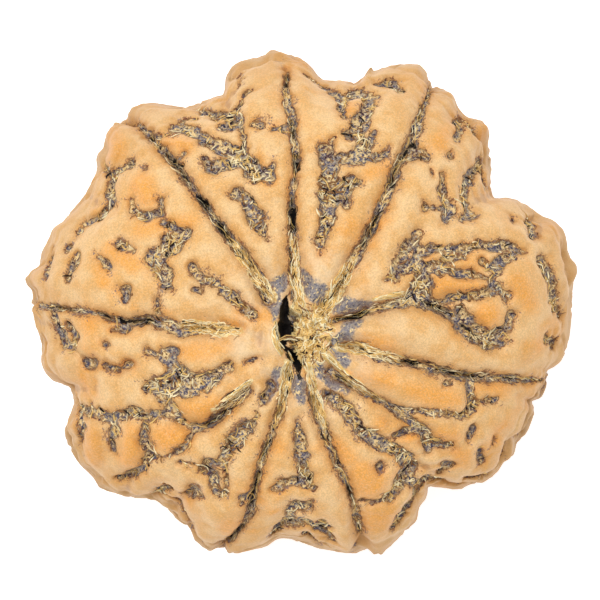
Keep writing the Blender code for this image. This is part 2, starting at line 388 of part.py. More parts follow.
def dome(directions):
    """Points of the lobed dome in the directions of a unit ball's points."""
    power = DOME_SQUARENESS
    across = np.hypot(directions[:, 0], directions[:, 1])
    scale = (across**power + np.abs(directions[:, 2]) ** power) ** (-1 / power)
    across, up = across * scale, directions[:, 2] * scale
    bearing = np.arctan2(directions[:, 1], directions[:, 0])
    radius = across * radius_at(bearing, up)
    height = CENTRE_HEIGHT + up * HALF_HEIGHT
    return np.stack([radius * np.cos(bearing), radius * np.sin(bearing), height], axis=1)


def dome_over(x, y):
    """The dome's point whose sunken floor shows at plan position (x, y)."""
    bearing, seen = math.atan2(y, x), math.hypot(x, y)
    up, reach = 0.6, seen
    for _ in range(4):
        outer = float(radius_at(bearing, up))
        share = min(reach / outer, 0.985)
        up = (1 - share**DOME_SQUARENESS) ** (1 / DOME_SQUARENESS)
        height = CENTRE_HEIGHT + up * HALF_HEIGHT
        point = Vector((share * outer * math.cos(bearing), share * outer * math.sin(bearing), height))
        way = inward(np.array([point]))[0]
        reach = seen + FLOOR_DEPTH * math.hypot(way[0], way[1])
    return point


def under_dome(bearing, down_share):
    """A point of the dome's lower half, from 0 at the middle to 1 at the blossom end."""
    angle = math.radians(90 + 90 * down_share)
    direction = (math.sin(angle) * math.cos(bearing), math.sin(angle) * math.sin(bearing), math.cos(angle))
    point = Vector(dome(np.array([direction]))[0])
    lean = Vector((BLOSSOM_END[0], BLOSSOM_END[1], 0)) * down_share**2
    return point + lean


def strokes_in_plan(lines):
    """The hollows read from above, as lists of (point, half width)."""
    return [[(dome_over(x, y), width) for x, y, width in line] for line in lines]


def lower_seams():
    """Each seam goes on from where its upper run ends, under the widest part, to the blossom end."""
    chance = random.Random(LOWER_SEED)
    runs = []
    for line in SEAMS:
        end = line[-1]
        bearing = math.atan2(end[1], end[0])
        run = [(dome_over(end[0], end[1]), end[2])]
        phase, swing = chance.uniform(0, 6.3), math.radians(chance.uniform(2, 5))
        for share in np.linspace(0.04, 0.95, 16):
            sway = swing * math.sin(phase + 7 * share) * (1 - share)
            sway += math.radians(chance.uniform(-1, 1))
            width = chance.uniform(0.1, 0.3) * (1.1 - 0.6 * share) * min(0.3 + 4 * share, 1)
            run.append((under_dome(bearing + sway, float(share)), width))
        runs.append(run)
    return runs


def lower_hollows(seams):
    """Short bent hollows over the flanks and the lower half, apart from each other and from the seams."""
    chance = random.Random(LOWER_SEED)
    taken = [point for run in seams for point, _ in run]
    runs = []
    for attempt in range(9000):
        if len(runs) == LOWER_HOLLOWS:
            break
        bearing = chance.uniform(-math.pi, math.pi)
        share = math.asin(chance.uniform(-0.05, 0.98)) / (math.pi / 2)
        start = under_dome(bearing, share)
        turn = chance.choice((0.2, 0.9, 1.6, 2.3, 2.9)) + chance.uniform(-0.4, 0.4)
        length = 3.2 if attempt < 500 else chance.choice((0.0, 0.8, 1.6))
        wide = chance.uniform(0.16, 0.4) if length > 1 else chance.uniform(0.1, 0.26)
        run = []
        for step in range(5 if length else 1):
            width = wide * (0.5 if step in (0, 4) else chance.uniform(0.8, 1.2))
            run.append((under_dome(bearing, share), width))
            turn += chance.uniform(-0.7, 0.7)
            reach = max(math.hypot(start.x, start.y), 2.0)
            bearing += math.cos(turn) * length / 4 / reach
            share = min(max(share + math.sin(turn) * length / 4 / 18, -0.06), 0.95)
        if all((point - other).length > LOWER_SPACING for point, _ in run for other in taken):
            taken += [point for point, _ in run]
            runs.append(run)
    return runs


def segments(runs, stretch):
    """Rows of start, end, half widths and height stretch, one for each straight step of the runs."""
    rows = []
    for run in runs:
        steps = list(zip(run, run[1:])) or [(run[0], run[0])]
        for (start, wide), (end, narrow) in steps:
            rows.append([*start, *end, wide, narrow, stretch])
    return rows


def edge_distance(points, rows):
    """Signed distance from each point to the nearest hollow's edge, negative inside."""
    nearest = np.full(len(points), 9.0)
    for row in rows:
        scale = np.array([1, 1, row[8]])
        start, end = np.array(row[0:3]) * scale, np.array(row[3:6]) * scale
        along = end - start
        offset = points * scale - start
        share = np.clip(offset @ along / max(along @ along, 1e-9), 0, 1)
        gap = np.linalg.norm(offset - share[:, None] * along, axis=1)
        nearest = np.minimum(nearest, gap - (row[6] + share * (row[7] - row[6])))
    return nearest


def waves(points, length, seed):
    """Smooth noise from -1 to 1 with lumps of about the given length."""
    shift = Vector((seed * 7.3, seed * 3.1, seed * 5.7))
    return np.array([noise.noise(Vector(point) / length + shift) for point in points])


def sunken(distance, depth, reach):
    """Depth of a round-shouldered hollow at a signed distance from its edge."""
    return depth * (1 - np.exp(np.minimum(distance, 0) / reach))


def inward(points):
    """Unit vectors into the stone, level at the widest part and steep away from it."""
    slope = (points - np.array([0, 0, CENTRE_HEIGHT])) / np.array([13.3, 12.2, HALF_HEIGHT]) ** 2
    away = np.clip(np.abs(points[:, 2] - CENTRE_HEIGHT) / STEEP_FROM, 0, 1)
    slope[:, :2] *= (1 - STEEPNESS * away * away * (3 - 2 * away))[:, None]
    return -slope / np.linalg.norm(slope, axis=1)[:, None]


def fitted(points):
    """The points moved so that the widest place towards each bearing stands on the seen silhouette."""
    height_share = (points[:, 2] - CENTRE_HEIGHT) / HALF_HEIGHT
    weight = np.exp(-((height_share / 0.38) ** 2))
    for _ in range(4):
        bearing = np.arctan2(points[:, 1], points[:, 0])
        reach = np.hypot(points[:, 0], points[:, 1])
        slot = np.round((np.degrees(bearing) + 180) * 2).astype(int) % 720
        widest = np.zeros(720)
        np.maximum.at(widest, slot, reach)
        short = TRACED - widest
        short = sum(np.roll(short, step) for step in range(-2, 3)) / 5
        growth = 1 + weight * np.interp(bearing, STEPS, short, period=2 * math.pi) / reach.clip(4)
        points = points * np.stack([growth, growth, np.ones(len(points))], axis=1)
    return points


def end_funnels(points):
    """The shallow funnels at the two ends, where every lobe runs down to the axis."""
    stem = np.hypot(points[:, 0] - STEM_END[0], points[:, 1] - STEM_END[1])
    blossom = np.hypot(points[:, 0] - BLOSSOM_END[0], points[:, 1] - BLOSSOM_END[1])
    from_end = np.where(points[:, 2] > CENTRE_HEIGHT, stem, blossom)
    return FUNNEL_DEPTH * np.exp(-((from_end / FUNNEL_REACH) ** 2))


def floors(points, seam):
    """Signed distance from each point to the wandering edge of the nearest seam or hollow."""
    rows = segments(strokes_in_plan(HOLLOWS), FLANK_STRETCH)
    rows += segments(lower_hollows(lower_seams()), 1.0)
    wander = EDGE_WANDER * waves(points, EDGE_WANDER_LENGTH, 1)
    return np.minimum(seam, edge_distance(points, rows)) + wander - HOLLOW_LIP


def cuts(points, edge, seam):
    """Depth of everything that is shallower where the bead is widest."""
    shoulder = SHOULDER_DEPTH * (1 - np.clip(edge / SHOULDER_REACH, 0, 1)) ** 2
    pillow = PILLOW_DEPTH * (1 - np.clip(edge / PILLOW_REACH, 0, 1)) ** 2
    furrow = SEAM_DEPTH * (1 - np.clip(seam / SEAM_REACH, 0, 1)) ** 2
    floor = sunken(edge, HOLLOW_DEPTH, HOLLOW_REACH)
    gap_rows = segments(strokes_in_plan(GAPS), FLANK_STRETCH)
    gap = sunken(edge_distance(points, gap_rows), GAP_DEPTH, GAP_REACH)
    belt = 1 - BELT_FADE * np.exp(-(((points[:, 2] - CENTRE_HEIGHT) / BELT_HEIGHT) ** 2))
    return (shoulder + pillow + furrow + floor + gap) * belt


def lumps(points):
    """Depth of the furrows between lumps and of the skin's gentle swelling, less the knobs' height."""
    crease = edge_distance(points, segments(strokes_in_plan(CREASES), FLANK_STRETCH)).clip(0)
    knob = edge_distance(points, segments(strokes_in_plan(KNOBS), FLANK_STRETCH))
    furrow = CREASE_DEPTH * np.exp(-((crease / CREASE_REACH) ** 2))
    swell = SWELL_HEIGHT * (1 - waves(points, SWELL_LENGTH, 2))
    dent = DENT_HEIGHT * (1 - waves(points, DENT_LENGTH, 8))
    return furrow + swell + dent - sunken(knob, KNOB_HEIGHT, KNOB_REACH)


def pits(points):
    """Depth of the blind pits at the two ends."""
    blossom = Vector((*BLOSSOM_END, CENTRE_HEIGHT - HALF_HEIGHT))
    rows = segments(strokes_in_plan(STEM_PIT) + [[(blossom, BLOSSOM_PIT_WIDTH)]], 1.0)
    return sunken(edge_distance(points, rows), PIT_DEPTH, PIT_REACH)


def relief(points):
    """How far each point of the dome sinks, in millimetres."""
    seam_rows = segments(strokes_in_plan(SEAMS), FLANK_STRETCH) + segments(lower_seams(), 1.0)
    seam = edge_distance(points, seam_rows)
    edge = floors(points, seam)
    return cuts(points, edge, seam) + lumps(points) + pits(points) + end_funnels(points)


def seed_stone():
    """The grown stone's colour and finish."""
    material = bpy.data.materials.new("seed_stone")
    material.use_nodes = True
    shader = material.node_tree.nodes["Principled BSDF"]
    shader.inputs["Base Color"].default_value = (0.80, 0.48, 0.20, 1.0)
    shader.inputs["Roughness"].default_value = 0.55
    shader.inputs["Metallic"].default_value = 0.0
    return material


def carved_ball():
    """A finely divided ball on the dome, sunk by the relief and fitted to the silhouette."""
    shell = bmesh.new()
    bmesh.ops.create_icosphere(shell, subdivisions=BALL_SUBDIVISIONS, radius=1.0)
    points = dome(np.array([vertex.co for vertex in shell.verts]))
    points = fitted(points + inward(points) * relief(points)[:, None]) + np.array(SHIFT)
    for vertex, point in zip(shell.verts, points):
        vertex.co = point * MM
    mesh = bpy.data.meshes.new("bead")
    shell.to_mesh(mesh)
    shell.free()
    return mesh


def thinned(bead):
    """The bead with fewer, larger triangles where it is smooth."""
    thin = bead.modifiers.new("fewer_faces", "DECIMATE")
    thin.ratio = MOST_TRIANGLES / len(bead.data.polygons)
    graph = bpy.context.evaluated_depsgraph_get()
    mesh = bpy.data.meshes.new_from_object(bead.evaluated_get(graph))
    bead.modifiers.clear()
    return mesh


def flattened(mesh):
    """The mesh with everything under the resting plane cut off, which leaves the small flat spot."""
    shell = bmesh.new()
    shell.from_mesh(mesh)
    everything = shell.verts[:] + shell.edges[:] + shell.faces[:]
    cut = bmesh.ops.bisect_plane(
        shell, geom=everything, dist=1e-7, plane_co=(0, 0, 0), plane_no=(0, 0, -1), clear_outer=True
    )
    rim = [item for item in cut["geom_cut"] if isinstance(item, bmesh.types.BMEdge)]
    bmesh.ops.edgenet_fill(shell, edges=rim)
    bmesh.ops.triangulate(shell, faces=shell.faces[:])
    bmesh.ops.recalc_face_normals(shell, faces=shell.faces[:])
    shell.to_mesh(mesh)
    shell.free()


def make_bead():
    bead = bpy.data.objects.new("bead", carved_ball())
    bpy.context.scene.collection.objects.link(bead)
    bead.data = thinned(bead)
    flattened(bead.data)
    bead.data.materials.append(seed_stone())
    bead.data.shade_smooth()
    bead.data.set_sharp_from_angle(angle=math.radians(60))
    return bead


def main():
    for old in list(bpy.data.objects):
        bpy.data.objects.remove(old)
    make_bead()


main()
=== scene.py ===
import math
import random

import bmesh
import bpy
import numpy as np
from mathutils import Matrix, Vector, noise
from mathutils.bvhtree import BVHTree


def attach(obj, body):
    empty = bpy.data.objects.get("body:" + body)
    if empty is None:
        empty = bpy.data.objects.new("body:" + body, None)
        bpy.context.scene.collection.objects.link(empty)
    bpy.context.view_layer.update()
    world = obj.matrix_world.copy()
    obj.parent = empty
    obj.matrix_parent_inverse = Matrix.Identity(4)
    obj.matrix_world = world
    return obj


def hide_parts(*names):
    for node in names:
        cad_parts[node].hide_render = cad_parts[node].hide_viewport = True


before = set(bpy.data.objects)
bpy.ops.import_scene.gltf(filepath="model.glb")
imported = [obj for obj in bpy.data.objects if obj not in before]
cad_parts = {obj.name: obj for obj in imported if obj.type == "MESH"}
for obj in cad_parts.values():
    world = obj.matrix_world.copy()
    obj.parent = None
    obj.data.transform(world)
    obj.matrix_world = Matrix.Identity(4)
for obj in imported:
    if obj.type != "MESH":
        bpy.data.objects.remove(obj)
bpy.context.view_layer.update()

mm = 0.001

# Everything below is in millimetres, as in the part, until a mesh is stored in metres.
# Plan places are seen from above, from the middle of the photographed bead.
dome = {
    "halfHeight": 10.8,
    "halfWidths": (13.3, 12.2),
    "squareness": 2.25,
    "flatDepth": 0.75,
    "shift": (-0.04, 0.11, 0.0),  # brings the middle of the bead over the frame's origin
    "stemEnd": (0.2, -1.6),
    "blossomEnd": (-0.3, 0.7),
    "outlineMargin": 0.1,
    "floorDepth": 0.8,  # the traced places are the hollows' floors, which lie under the dome's face
    "widestShare": 0.985,  # the outermost place that shows, as a share of the outline
    "flankStretch": 0.5,
    "steepFrom": 4.0, "steepness": 0.8,
}
dome["centreHeight"] = dome["halfHeight"] - dome["flatDepth"]
outline = {
    "curveSteps": 8, "slotsPerDegree": 2, "slots": 720,
    "blur": 22, "blurReach": 60,  # in slots
    "tracedBand": 0.55, "fitBand": 0.6,  # shares of the half height where the traced silhouette holds
}
strokeSearch = {"far": 9.0, "margin": 2.2}
shownMasks = ("edge", "gap", "core", "crease", "warm", "collar", "pith")  # kept on the mesh for its material

# The seen silhouette, counterclockwise from the right.
outlinePoints = [
    (13.5, -0.1), (13.6, 0.8), (13.75, 1.6), (13.35, 2.3), (13.1, 3.4), (12.6, 3.95), (12.0, 4.2),
    (11.1, 4.8), (10.3, 5.1), (9.6, 5.12), (9.45, 5.9), (9.5, 6.6), (9.35, 7.8), (9.4, 8.3), (9.0, 8.88),
    (8.3, 9.1), (7.85, 9.55), (7.6, 10.15), (7.1, 10.48), (6.6, 10.65), (6.35, 11.1), (6.0, 11.62),
    (5.3, 11.72), (4.3, 11.6), (3.8, 11.4), (3.5, 11.5), (3.1, 11.1), (2.8, 10.8), (2.0, 10.9),
    (1.15, 10.92), (0.6, 11.55), (0.0, 12.0), (-0.8, 12.25), (-1.4, 12.4), (-1.9, 12.1), (-2.6, 11.93),
    (-3.3, 11.65), (-3.7, 11.0), (-3.8, 10.25), (-4.2, 10.07), (-4.8, 9.85), (-5.6, 9.58), (-6.5, 9.7),
    (-7.3, 9.82), (-8.1, 9.65), (-8.5, 9.35), (-8.65, 8.95), (-9.25, 8.7), (-9.65, 8.1), (-9.75, 7.6),
    (-10.1, 7.1), (-10.1, 6.4), (-10.4, 5.7), (-10.75, 5.1), (-11.2, 4.6), (-11.7, 3.95), (-12.2, 3.6),
    (-12.5, 2.95), (-12.8, 2.4), (-12.95, 1.75), (-13.4, 1.4), (-13.65, 0.9), (-13.3, 0.4), (-13.3, -0.3),
    (-13.1, -1.3), (-12.85, -2.1), (-12.8, -3.2), (-12.4, -3.9), (-11.8, -4.2), (-11.4, -4.4),
    (-11.25, -5.1), (-11.5, -5.9), (-11.7, -6.55), (-11.45, -7.3), (-11.0, -8.1), (-10.3, -8.8),
    (-9.9, -9.35), (-9.0, -9.65), (-8.2, -9.85), (-7.3, -9.9), (-6.7, -10.25), (-6.1, -10.9), (-5.5, -11.3),
    (-5.2, -11.95), (-4.5, -12.45), (-3.9, -12.28), (-3.4, -12.58), (-2.4, -12.4), (-1.6, -12.2),
    (-0.9, -11.83), (0.1, -12.05), (1.0, -12.35), (2.6, -12.58), (3.3, -12.38), (3.9, -12.65), (4.5, -12.2),
    (5.2, -11.5), (5.8, -10.95), (5.95, -10.3), (6.3, -9.7), (6.4, -9.3), (7.2, -9.35), (7.9, -9.42),
    (8.5, -9.15), (9.2, -9.0), (9.8, -8.5), (10.1, -8.05), (10.6, -7.7), (10.8, -7.1), (11.3, -6.5),
    (11.65, -5.5), (11.5, -5.1), (12.0, -4.8), (12.25, -4.1), (12.3, -3.55), (12.9, -3.1), (13.25, -2.3),
    (13.45, -1.2),
]

# The ten seams, from the stem end outwards: (x, y, half width).
seamLines = [
    [(-0.2, 0.2, 0.3), (-0.3, 1.3, 0.3), (-0.35, 3.2, 0.22), (-0.42, 4.3, 0.25), (-0.38, 5.2, 0.18),
     (-0.25, 6.1, 0.13), (-0.2, 6.9, 0.2), (-0.32, 7.9, 0.2), (-0.42, 8.9, 0.24), (-0.6, 9.7, 0.24),
     (-0.68, 10.4, 0.15), (-0.6, 10.9, 0.12)],
    [(1.2, -0.5, 0.25), (1.8, 0.3, 0.25), (2.2, 1.1, 0.25), (2.7, 2.1, 0.28), (3.4, 3.3, 0.26),
     (4.0, 4.6, 0.22), (4.5, 5.7, 0.26), (4.8, 6.7, 0.24), (5.45, 7.6, 0.32), (5.75, 8.7, 0.26),
     (6.05, 9.6, 0.14), (6.2, 10.1, 0.1)],
    [(1.6, -1.0, 0.1), (2.9, -0.75, 0.14), (3.6, -0.45, 0.18), (4.6, -0.2, 0.26), (5.6, 0.05, 0.4),
     (6.5, -0.25, 0.3), (7.3, -0.65, 0.26), (8.0, -1.2, 0.28), (8.7, -1.8, 0.3), (9.2, -2.2, 0.2)],
    [(2.2, -2.2, 0.15), (2.9, -2.35, 0.28), (3.8, -2.7, 0.32), (4.7, -2.98, 0.24), (5.6, -3.12, 0.2),
     (6.8, -3.45, 0.25), (8.0, -3.75, 0.28), (9.0, -3.85, 0.26), (10.1, -3.85, 0.2), (11.0, -3.9, 0.2),
     (11.45, -3.85, 0.1)],
    [(1.5, -3.5, 0.25), (2.2, -4.05, 0.15), (3.3, -4.7, 0.15), (4.3, -5.15, 0.2), (5.2, -5.75, 0.28),
     (6.1, -6.5, 0.28), (6.7, -7.05, 0.22), (7.4, -7.1, 0.12)],
    [(0.4, -3.6, 0.12), (0.6, -4.5, 0.24), (0.85, -5.5, 0.28), (1.2, -6.5, 0.26), (1.6, -7.5, 0.2),
     (1.95, -8.3, 0.2), (2.25, -9.0, 0.14), (2.5, -9.6, 0.12), (2.72, -10.2, 0.18), (2.8, -10.9, 0.2),
     (3.0, -11.5, 0.08)],
    [(-0.5, -3.4, 0.2), (-0.75, -4.5, 0.22), (-1.0, -5.5, 0.22), (-1.32, -6.4, 0.22), (-1.6, -7.1, 0.2),
     (-1.9, -8.0, 0.18), (-2.1, -8.9, 0.18), (-2.3, -9.6, 0.22), (-2.42, -10.4, 0.22),
     (-2.75, -10.95, 0.16), (-3.3, -11.5, 0.2), (-3.85, -12.05, 0.12)],
    [(-2.5, -4.4, 0.15), (-3.1, -4.9, 0.28), (-3.7, -5.5, 0.26), (-4.3, -6.05, 0.24), (-4.9, -6.3, 0.26),
     (-5.5, -6.2, 0.14), (-6.0, -5.95, 0.14)],
    [(-3.0, -1.45, 0.12), (-3.7, -1.45, 0.28), (-4.9, -1.42, 0.3), (-5.9, -1.5, 0.34), (-6.6, -1.2, 0.3),
     (-7.3, -0.98, 0.24), (-8.2, -1.08, 0.2), (-9.1, -1.0, 0.2), (-9.8, -0.65, 0.14), (-10.9, -0.48, 0.15),
     (-12.0, -0.35, 0.18), (-12.7, -0.1, 0.15), (-13.2, 0.15, 0.1)],
    [(-1.6, 0.0, 0.25), (-2.0, 1.0, 0.28), (-2.7, 2.1, 0.28), (-3.3, 2.9, 0.28), (-4.0, 3.75, 0.24),
     (-4.7, 4.75, 0.2), (-5.4, 5.7, 0.2), (-6.0, 6.55, 0.26), (-6.75, 7.4, 0.22), (-7.3, 8.0, 0.16),
     (-7.75, 8.5, 0.14), (-8.2, 8.8, 0.12)],
]

# The fibrous hollows between the lumps, and round pits: (x, y, half width).
hollowLines = [
    [(-1.65, 3.0, 0.12), (-1.9, 3.5, 0.3), (-2.25, 4.2, 0.4), (-2.65, 4.95, 0.38), (-3.0, 5.3, 0.28),
     (-3.25, 5.15, 0.15)],
    [(-5.0, 8.2, 0.24), (-4.4, 7.7, 0.36), (-3.6, 7.4, 0.42), (-3.0, 7.1, 0.44), (-2.4, 6.7, 0.38),
     (-1.7, 6.1, 0.3)],
    [(-4.7, 6.9, 0.2), (-4.3, 6.5, 0.4), (-3.7, 6.65, 0.38), (-3.1, 6.85, 0.34)],
    [(-2.5, 6.2, 0.3), (-2.1, 6.2, 0.42), (-1.6, 6.1, 0.3), (-1.35, 6.5, 0.14), (-1.35, 6.9, 0.06)],
    [(-6.15, 8.3, 0.22), (-5.7, 8.35, 0.3), (-5.0, 8.1, 0.24)],
    [(-6.0, 8.6, 0.15), (-5.6, 8.78, 0.13), (-5.05, 8.8, 0.1)],
    [(-7.4, 8.2, 0.08), (-6.8, 7.97, 0.1), (-6.3, 8.1, 0.12)],
    [(-5.75, 7.15, 0.18), (-5.95, 6.95, 0.12)],
    [(-2.7, 7.4, 0.2), (-2.8, 8.0, 0.15), (-2.95, 8.7, 0.2), (-3.1, 9.05, 0.22)],
    [(-5.3, 9.4, 0.06), (-4.5, 9.1, 0.2), (-3.8, 9.0, 0.32), (-3.2, 9.05, 0.32), (-2.9, 9.7, 0.12),
     (-2.5, 10.25, 0.09)],
    [(-3.85, 8.5, 0.2), (-3.35, 8.5, 0.26)],
    [(-4.5, 9.0, 0.06), (-4.0, 8.75, 0.1)],
    [(-2.3, 8.6, 0.14), (-2.05, 8.65, 0.24), (-1.75, 8.7, 0.1)],
    [(-2.95, 10.5, 0.07), (-2.88, 10.95, 0.07)],
    [(-3.2, 11.42, 0.08)],
    [(-1.35, 8.4, 0.18), (-0.85, 8.42, 0.22)],
    [(1.0, 2.3, 0.12), (1.05, 2.9, 0.2), (1.25, 3.6, 0.34), (1.4, 4.5, 0.5), (1.5, 5.2, 0.66),
     (1.45, 6.0, 0.48), (1.45, 6.7, 0.44), (1.1, 7.3, 0.3)],
    [(1.5, 7.0, 0.2), (1.6, 7.5, 0.14), (1.6, 7.9, 0.06)],
    [(2.2, 4.6, 0.2), (2.1, 5.3, 0.32), (2.5, 5.8, 0.36), (2.95, 5.75, 0.2)],
    [(1.9, 7.0, 0.3), (2.4, 6.95, 0.36), (3.0, 7.1, 0.42), (3.35, 7.6, 0.34), (3.6, 8.2, 0.2)],
    [(3.6, 7.0, 0.28), (4.2, 7.12, 0.24)],
    [(2.4, 8.1, 0.34), (2.85, 8.45, 0.5), (3.1, 8.95, 0.42), (3.35, 9.5, 0.34), (3.4, 9.9, 0.28)],
    [(3.0, 7.8, 0.24), (2.9, 8.3, 0.24)],
    [(2.2, 8.9, 0.12), (2.0, 9.35, 0.16), (2.05, 9.8, 0.2), (2.6, 10.02, 0.32), (3.2, 10.0, 0.3),
     (3.75, 9.85, 0.12)],
    [(1.95, 9.85, 0.16), (1.4, 10.2, 0.16), (1.0, 10.45, 0.12), (0.7, 10.7, 0.12), (0.3, 10.9, 0.08)],
    [(3.95, 10.5, 0.24), (4.4, 10.62, 0.36), (4.8, 10.35, 0.26)],
    [(4.2, 1.0, 0.14), (4.6, 1.15, 0.24), (4.75, 1.6, 0.3), (5.1, 2.2, 0.3), (5.3, 2.8, 0.3),
     (5.8, 3.15, 0.2)],
    [(5.1, 1.5, 0.24), (5.6, 1.7, 0.34), (5.9, 2.3, 0.32), (6.6, 2.55, 0.22), (7.4, 2.5, 0.24),
     (8.2, 2.5, 0.24), (8.8, 2.8, 0.2), (9.5, 2.6, 0.28), (10.2, 2.65, 0.32), (11.1, 2.4, 0.1)],
    [(5.9, 1.0, 0.3), (6.2, 1.5, 0.3), (6.9, 1.75, 0.26), (7.4, 2.0, 0.26), (8.0, 2.2, 0.14)],
    [(6.8, 1.5, 0.24), (7.6, 1.4, 0.22), (8.5, 1.25, 0.18), (9.4, 1.05, 0.15)],
    [(9.0, 1.9, 0.2), (9.3, 1.5, 0.2), (9.7, 1.75, 0.28), (10.2, 2.1, 0.26), (10.6, 2.3, 0.16)],
    [(9.4, 1.0, 0.12), (9.8, 1.5, 0.14)],
    [(4.9, -0.15, 0.2), (5.5, 0.1, 0.44), (5.9, 0.5, 0.56), (6.15, 0.9, 0.46)],
    [(6.6, -0.2, 0.2), (7.4, 0.0, 0.18), (8.3, 0.2, 0.22), (9.2, 0.35, 0.28), (9.7, 0.6, 0.26),
     (10.1, 0.15, 0.24)],
    [(7.9, -0.4, 0.26), (8.2, -1.0, 0.26), (8.8, -1.65, 0.3), (9.5, -1.8, 0.28), (10.1, -1.4, 0.24),
     (10.4, -0.8, 0.24)],
    [(8.6, -1.9, 0.3), (9.2, -2.2, 0.3), (9.7, -2.2, 0.2), (10.2, -2.15, 0.08)],
    [(7.6, -1.35, 0.16), (8.2, -1.75, 0.14)],
    [(6.95, 6.1, 0.1), (6.95, 5.5, 0.18), (7.15, 4.9, 0.26), (7.3, 4.35, 0.34), (7.2, 3.85, 0.2)],
    [(6.15, 4.6, 0.16), (6.9, 4.5, 0.16)],
    [(8.8, 6.8, 0.2), (8.4, 6.2, 0.28), (8.1, 5.4, 0.2), (8.15, 4.6, 0.24), (8.35, 4.15, 0.28),
     (8.0, 4.0, 0.18)],
    [(8.9, 6.4, 0.14), (8.95, 5.6, 0.15)],
    [(7.5, 8.6, 0.2), (7.9, 8.65, 0.28), (8.3, 8.3, 0.24), (8.7, 7.95, 0.12)],
    [(7.7, 8.3, 0.26), (7.55, 7.8, 0.14)],
    [(7.3, 7.05, 0.2)],
    [(6.5, 6.3, 0.06), (6.6, 6.0, 0.06)],
    [(5.0, 7.05, 0.2), (5.6, 7.25, 0.28), (6.2, 7.05, 0.24)],
    [(11.1, 4.1, 0.16), (11.3, 3.7, 0.28), (11.45, 3.15, 0.24)],
    [(10.45, 3.95, 0.14)],
    [(11.85, 2.0, 0.26), (12.1, 1.3, 0.3), (12.3, 0.5, 0.3), (12.5, -0.3, 0.3), (12.75, -0.9, 0.14)],
    [(12.75, 2.1, 0.06), (12.9, 1.3, 0.07)],
    [(12.05, -1.9, 0.18), (12.35, -2.15, 0.28)],
    [(7.1, -4.15, 0.1), (7.4, -4.0, 0.1)],
    [(8.3, -4.1, 0.16), (8.45, -4.7, 0.28), (8.5, -5.2, 0.3), (8.2, -5.7, 0.24), (7.7, -5.75, 0.16)],
    [(4.9, -5.4, 0.16), (6.0, -5.45, 0.18), (6.9, -5.55, 0.16), (7.6, -5.7, 0.16)],
    [(8.9, -5.0, 0.12), (9.6, -4.9, 0.2)],
    [(8.4, -6.3, 0.2), (8.2, -6.7, 0.16)],
    [(8.7, -7.3, 0.12), (8.7, -7.75, 0.2)],
    [(9.95, -7.2, 0.2), (9.8, -7.5, 0.2)],
    [(9.4, -7.0, 0.13)],
    [(11.1, -5.4, 0.24)],
    [(8.0, -8.55, 0.14), (8.5, -8.45, 0.16), (9.1, -8.45, 0.18)],
    [(6.85, -8.4, 0.14), (7.1, -8.1, 0.3)],
    [(6.1, -8.75, 0.2), (6.8, -8.8, 0.24), (7.5, -9.0, 0.14)],
    [(1.2, -4.6, 0.24), (1.9, -5.0, 0.32), (2.5, -5.6, 0.34), (3.0, -6.5, 0.34), (3.6, -6.9, 0.34),
     (4.3, -7.2, 0.34), (5.0, -7.5, 0.3)],
    [(4.9, -7.6, 0.3), (5.4, -8.2, 0.42), (5.0, -8.7, 0.34), (4.8, -9.3, 0.32), (4.4, -9.65, 0.26),
     (3.6, -9.9, 0.1), (2.9, -9.9, 0.08)],
    [(5.4, -8.8, 0.28), (5.8, -9.1, 0.24), (5.55, -9.6, 0.22), (5.1, -10.2, 0.2), (4.6, -10.9, 0.2)],
    [(3.85, -8.15, 0.26)],
    [(4.7, -6.75, 0.14), (5.2, -6.4, 0.24), (5.9, -6.3, 0.24)],
    [(6.2, -6.9, 0.24), (6.3, -7.35, 0.2)],
    [(-0.1, -5.8, 0.12), (-0.1, -6.6, 0.24), (0.05, -7.4, 0.32), (0.15, -8.2, 0.34), (0.25, -8.9, 0.38)],
    [(0.0, -8.8, 0.3), (-0.7, -8.95, 0.26), (-1.25, -9.2, 0.16)],
    [(0.3, -9.05, 0.24), (0.7, -9.2, 0.1)],
    [(0.35, -10.05, 0.26), (-0.3, -10.05, 0.28), (-0.6, -10.7, 0.26), (-1.3, -11.4, 0.12)],
    [(-0.5, -10.95, 0.22), (0.05, -10.7, 0.22), (0.7, -10.95, 0.22), (1.25, -11.25, 0.26),
     (1.6, -11.6, 0.14)],
    [(1.0, -10.8, 0.12), (1.4, -11.0, 0.12)],
    [(0.3, -11.35, 0.26), (0.85, -11.8, 0.2)],
    [(-1.4, -4.1, 0.24), (-1.7, -4.7, 0.18), (-1.95, -5.2, 0.12)],
    [(-2.1, -5.6, 0.14), (-2.3, -6.1, 0.24), (-2.75, -6.5, 0.4), (-3.2, -6.95, 0.48), (-3.6, -7.4, 0.3),
     (-3.85, -7.7, 0.16)],
    [(-5.85, -7.9, 0.14), (-5.2, -8.1, 0.16)],
    [(-4.8, -8.3, 0.28), (-4.3, -8.5, 0.34), (-4.1, -9.1, 0.24), (-4.1, -9.5, 0.16)],
    [(-4.6, -8.0, 0.14), (-3.9, -8.0, 0.15), (-3.55, -8.6, 0.15), (-3.65, -9.3, 0.14), (-4.0, -9.7, 0.1)],
    [(-5.5, -9.6, 0.14), (-5.1, -9.4, 0.32)],
    [(-7.15, -9.5, 0.12), (-6.6, -9.2, 0.24)],
    [(-6.0, -9.9, 0.1), (-5.6, -10.4, 0.14), (-5.25, -10.9, 0.12)],
    [(-2.3, -9.45, 0.12), (-2.75, -9.65, 0.2)],
    [(-3.5, -3.2, 0.2), (-4.1, -3.7, 0.34), (-4.7, -4.05, 0.46), (-5.5, -4.2, 0.58), (-6.3, -4.25, 0.6),
     (-7.0, -4.25, 0.46), (-7.5, -4.2, 0.28)],
    [(-7.6, -2.5, 0.12), (-6.9, -2.75, 0.24), (-6.3, -3.15, 0.36), (-5.8, -3.6, 0.36)],
    [(-6.8, -2.5, 0.14), (-6.1, -2.5, 0.18)],
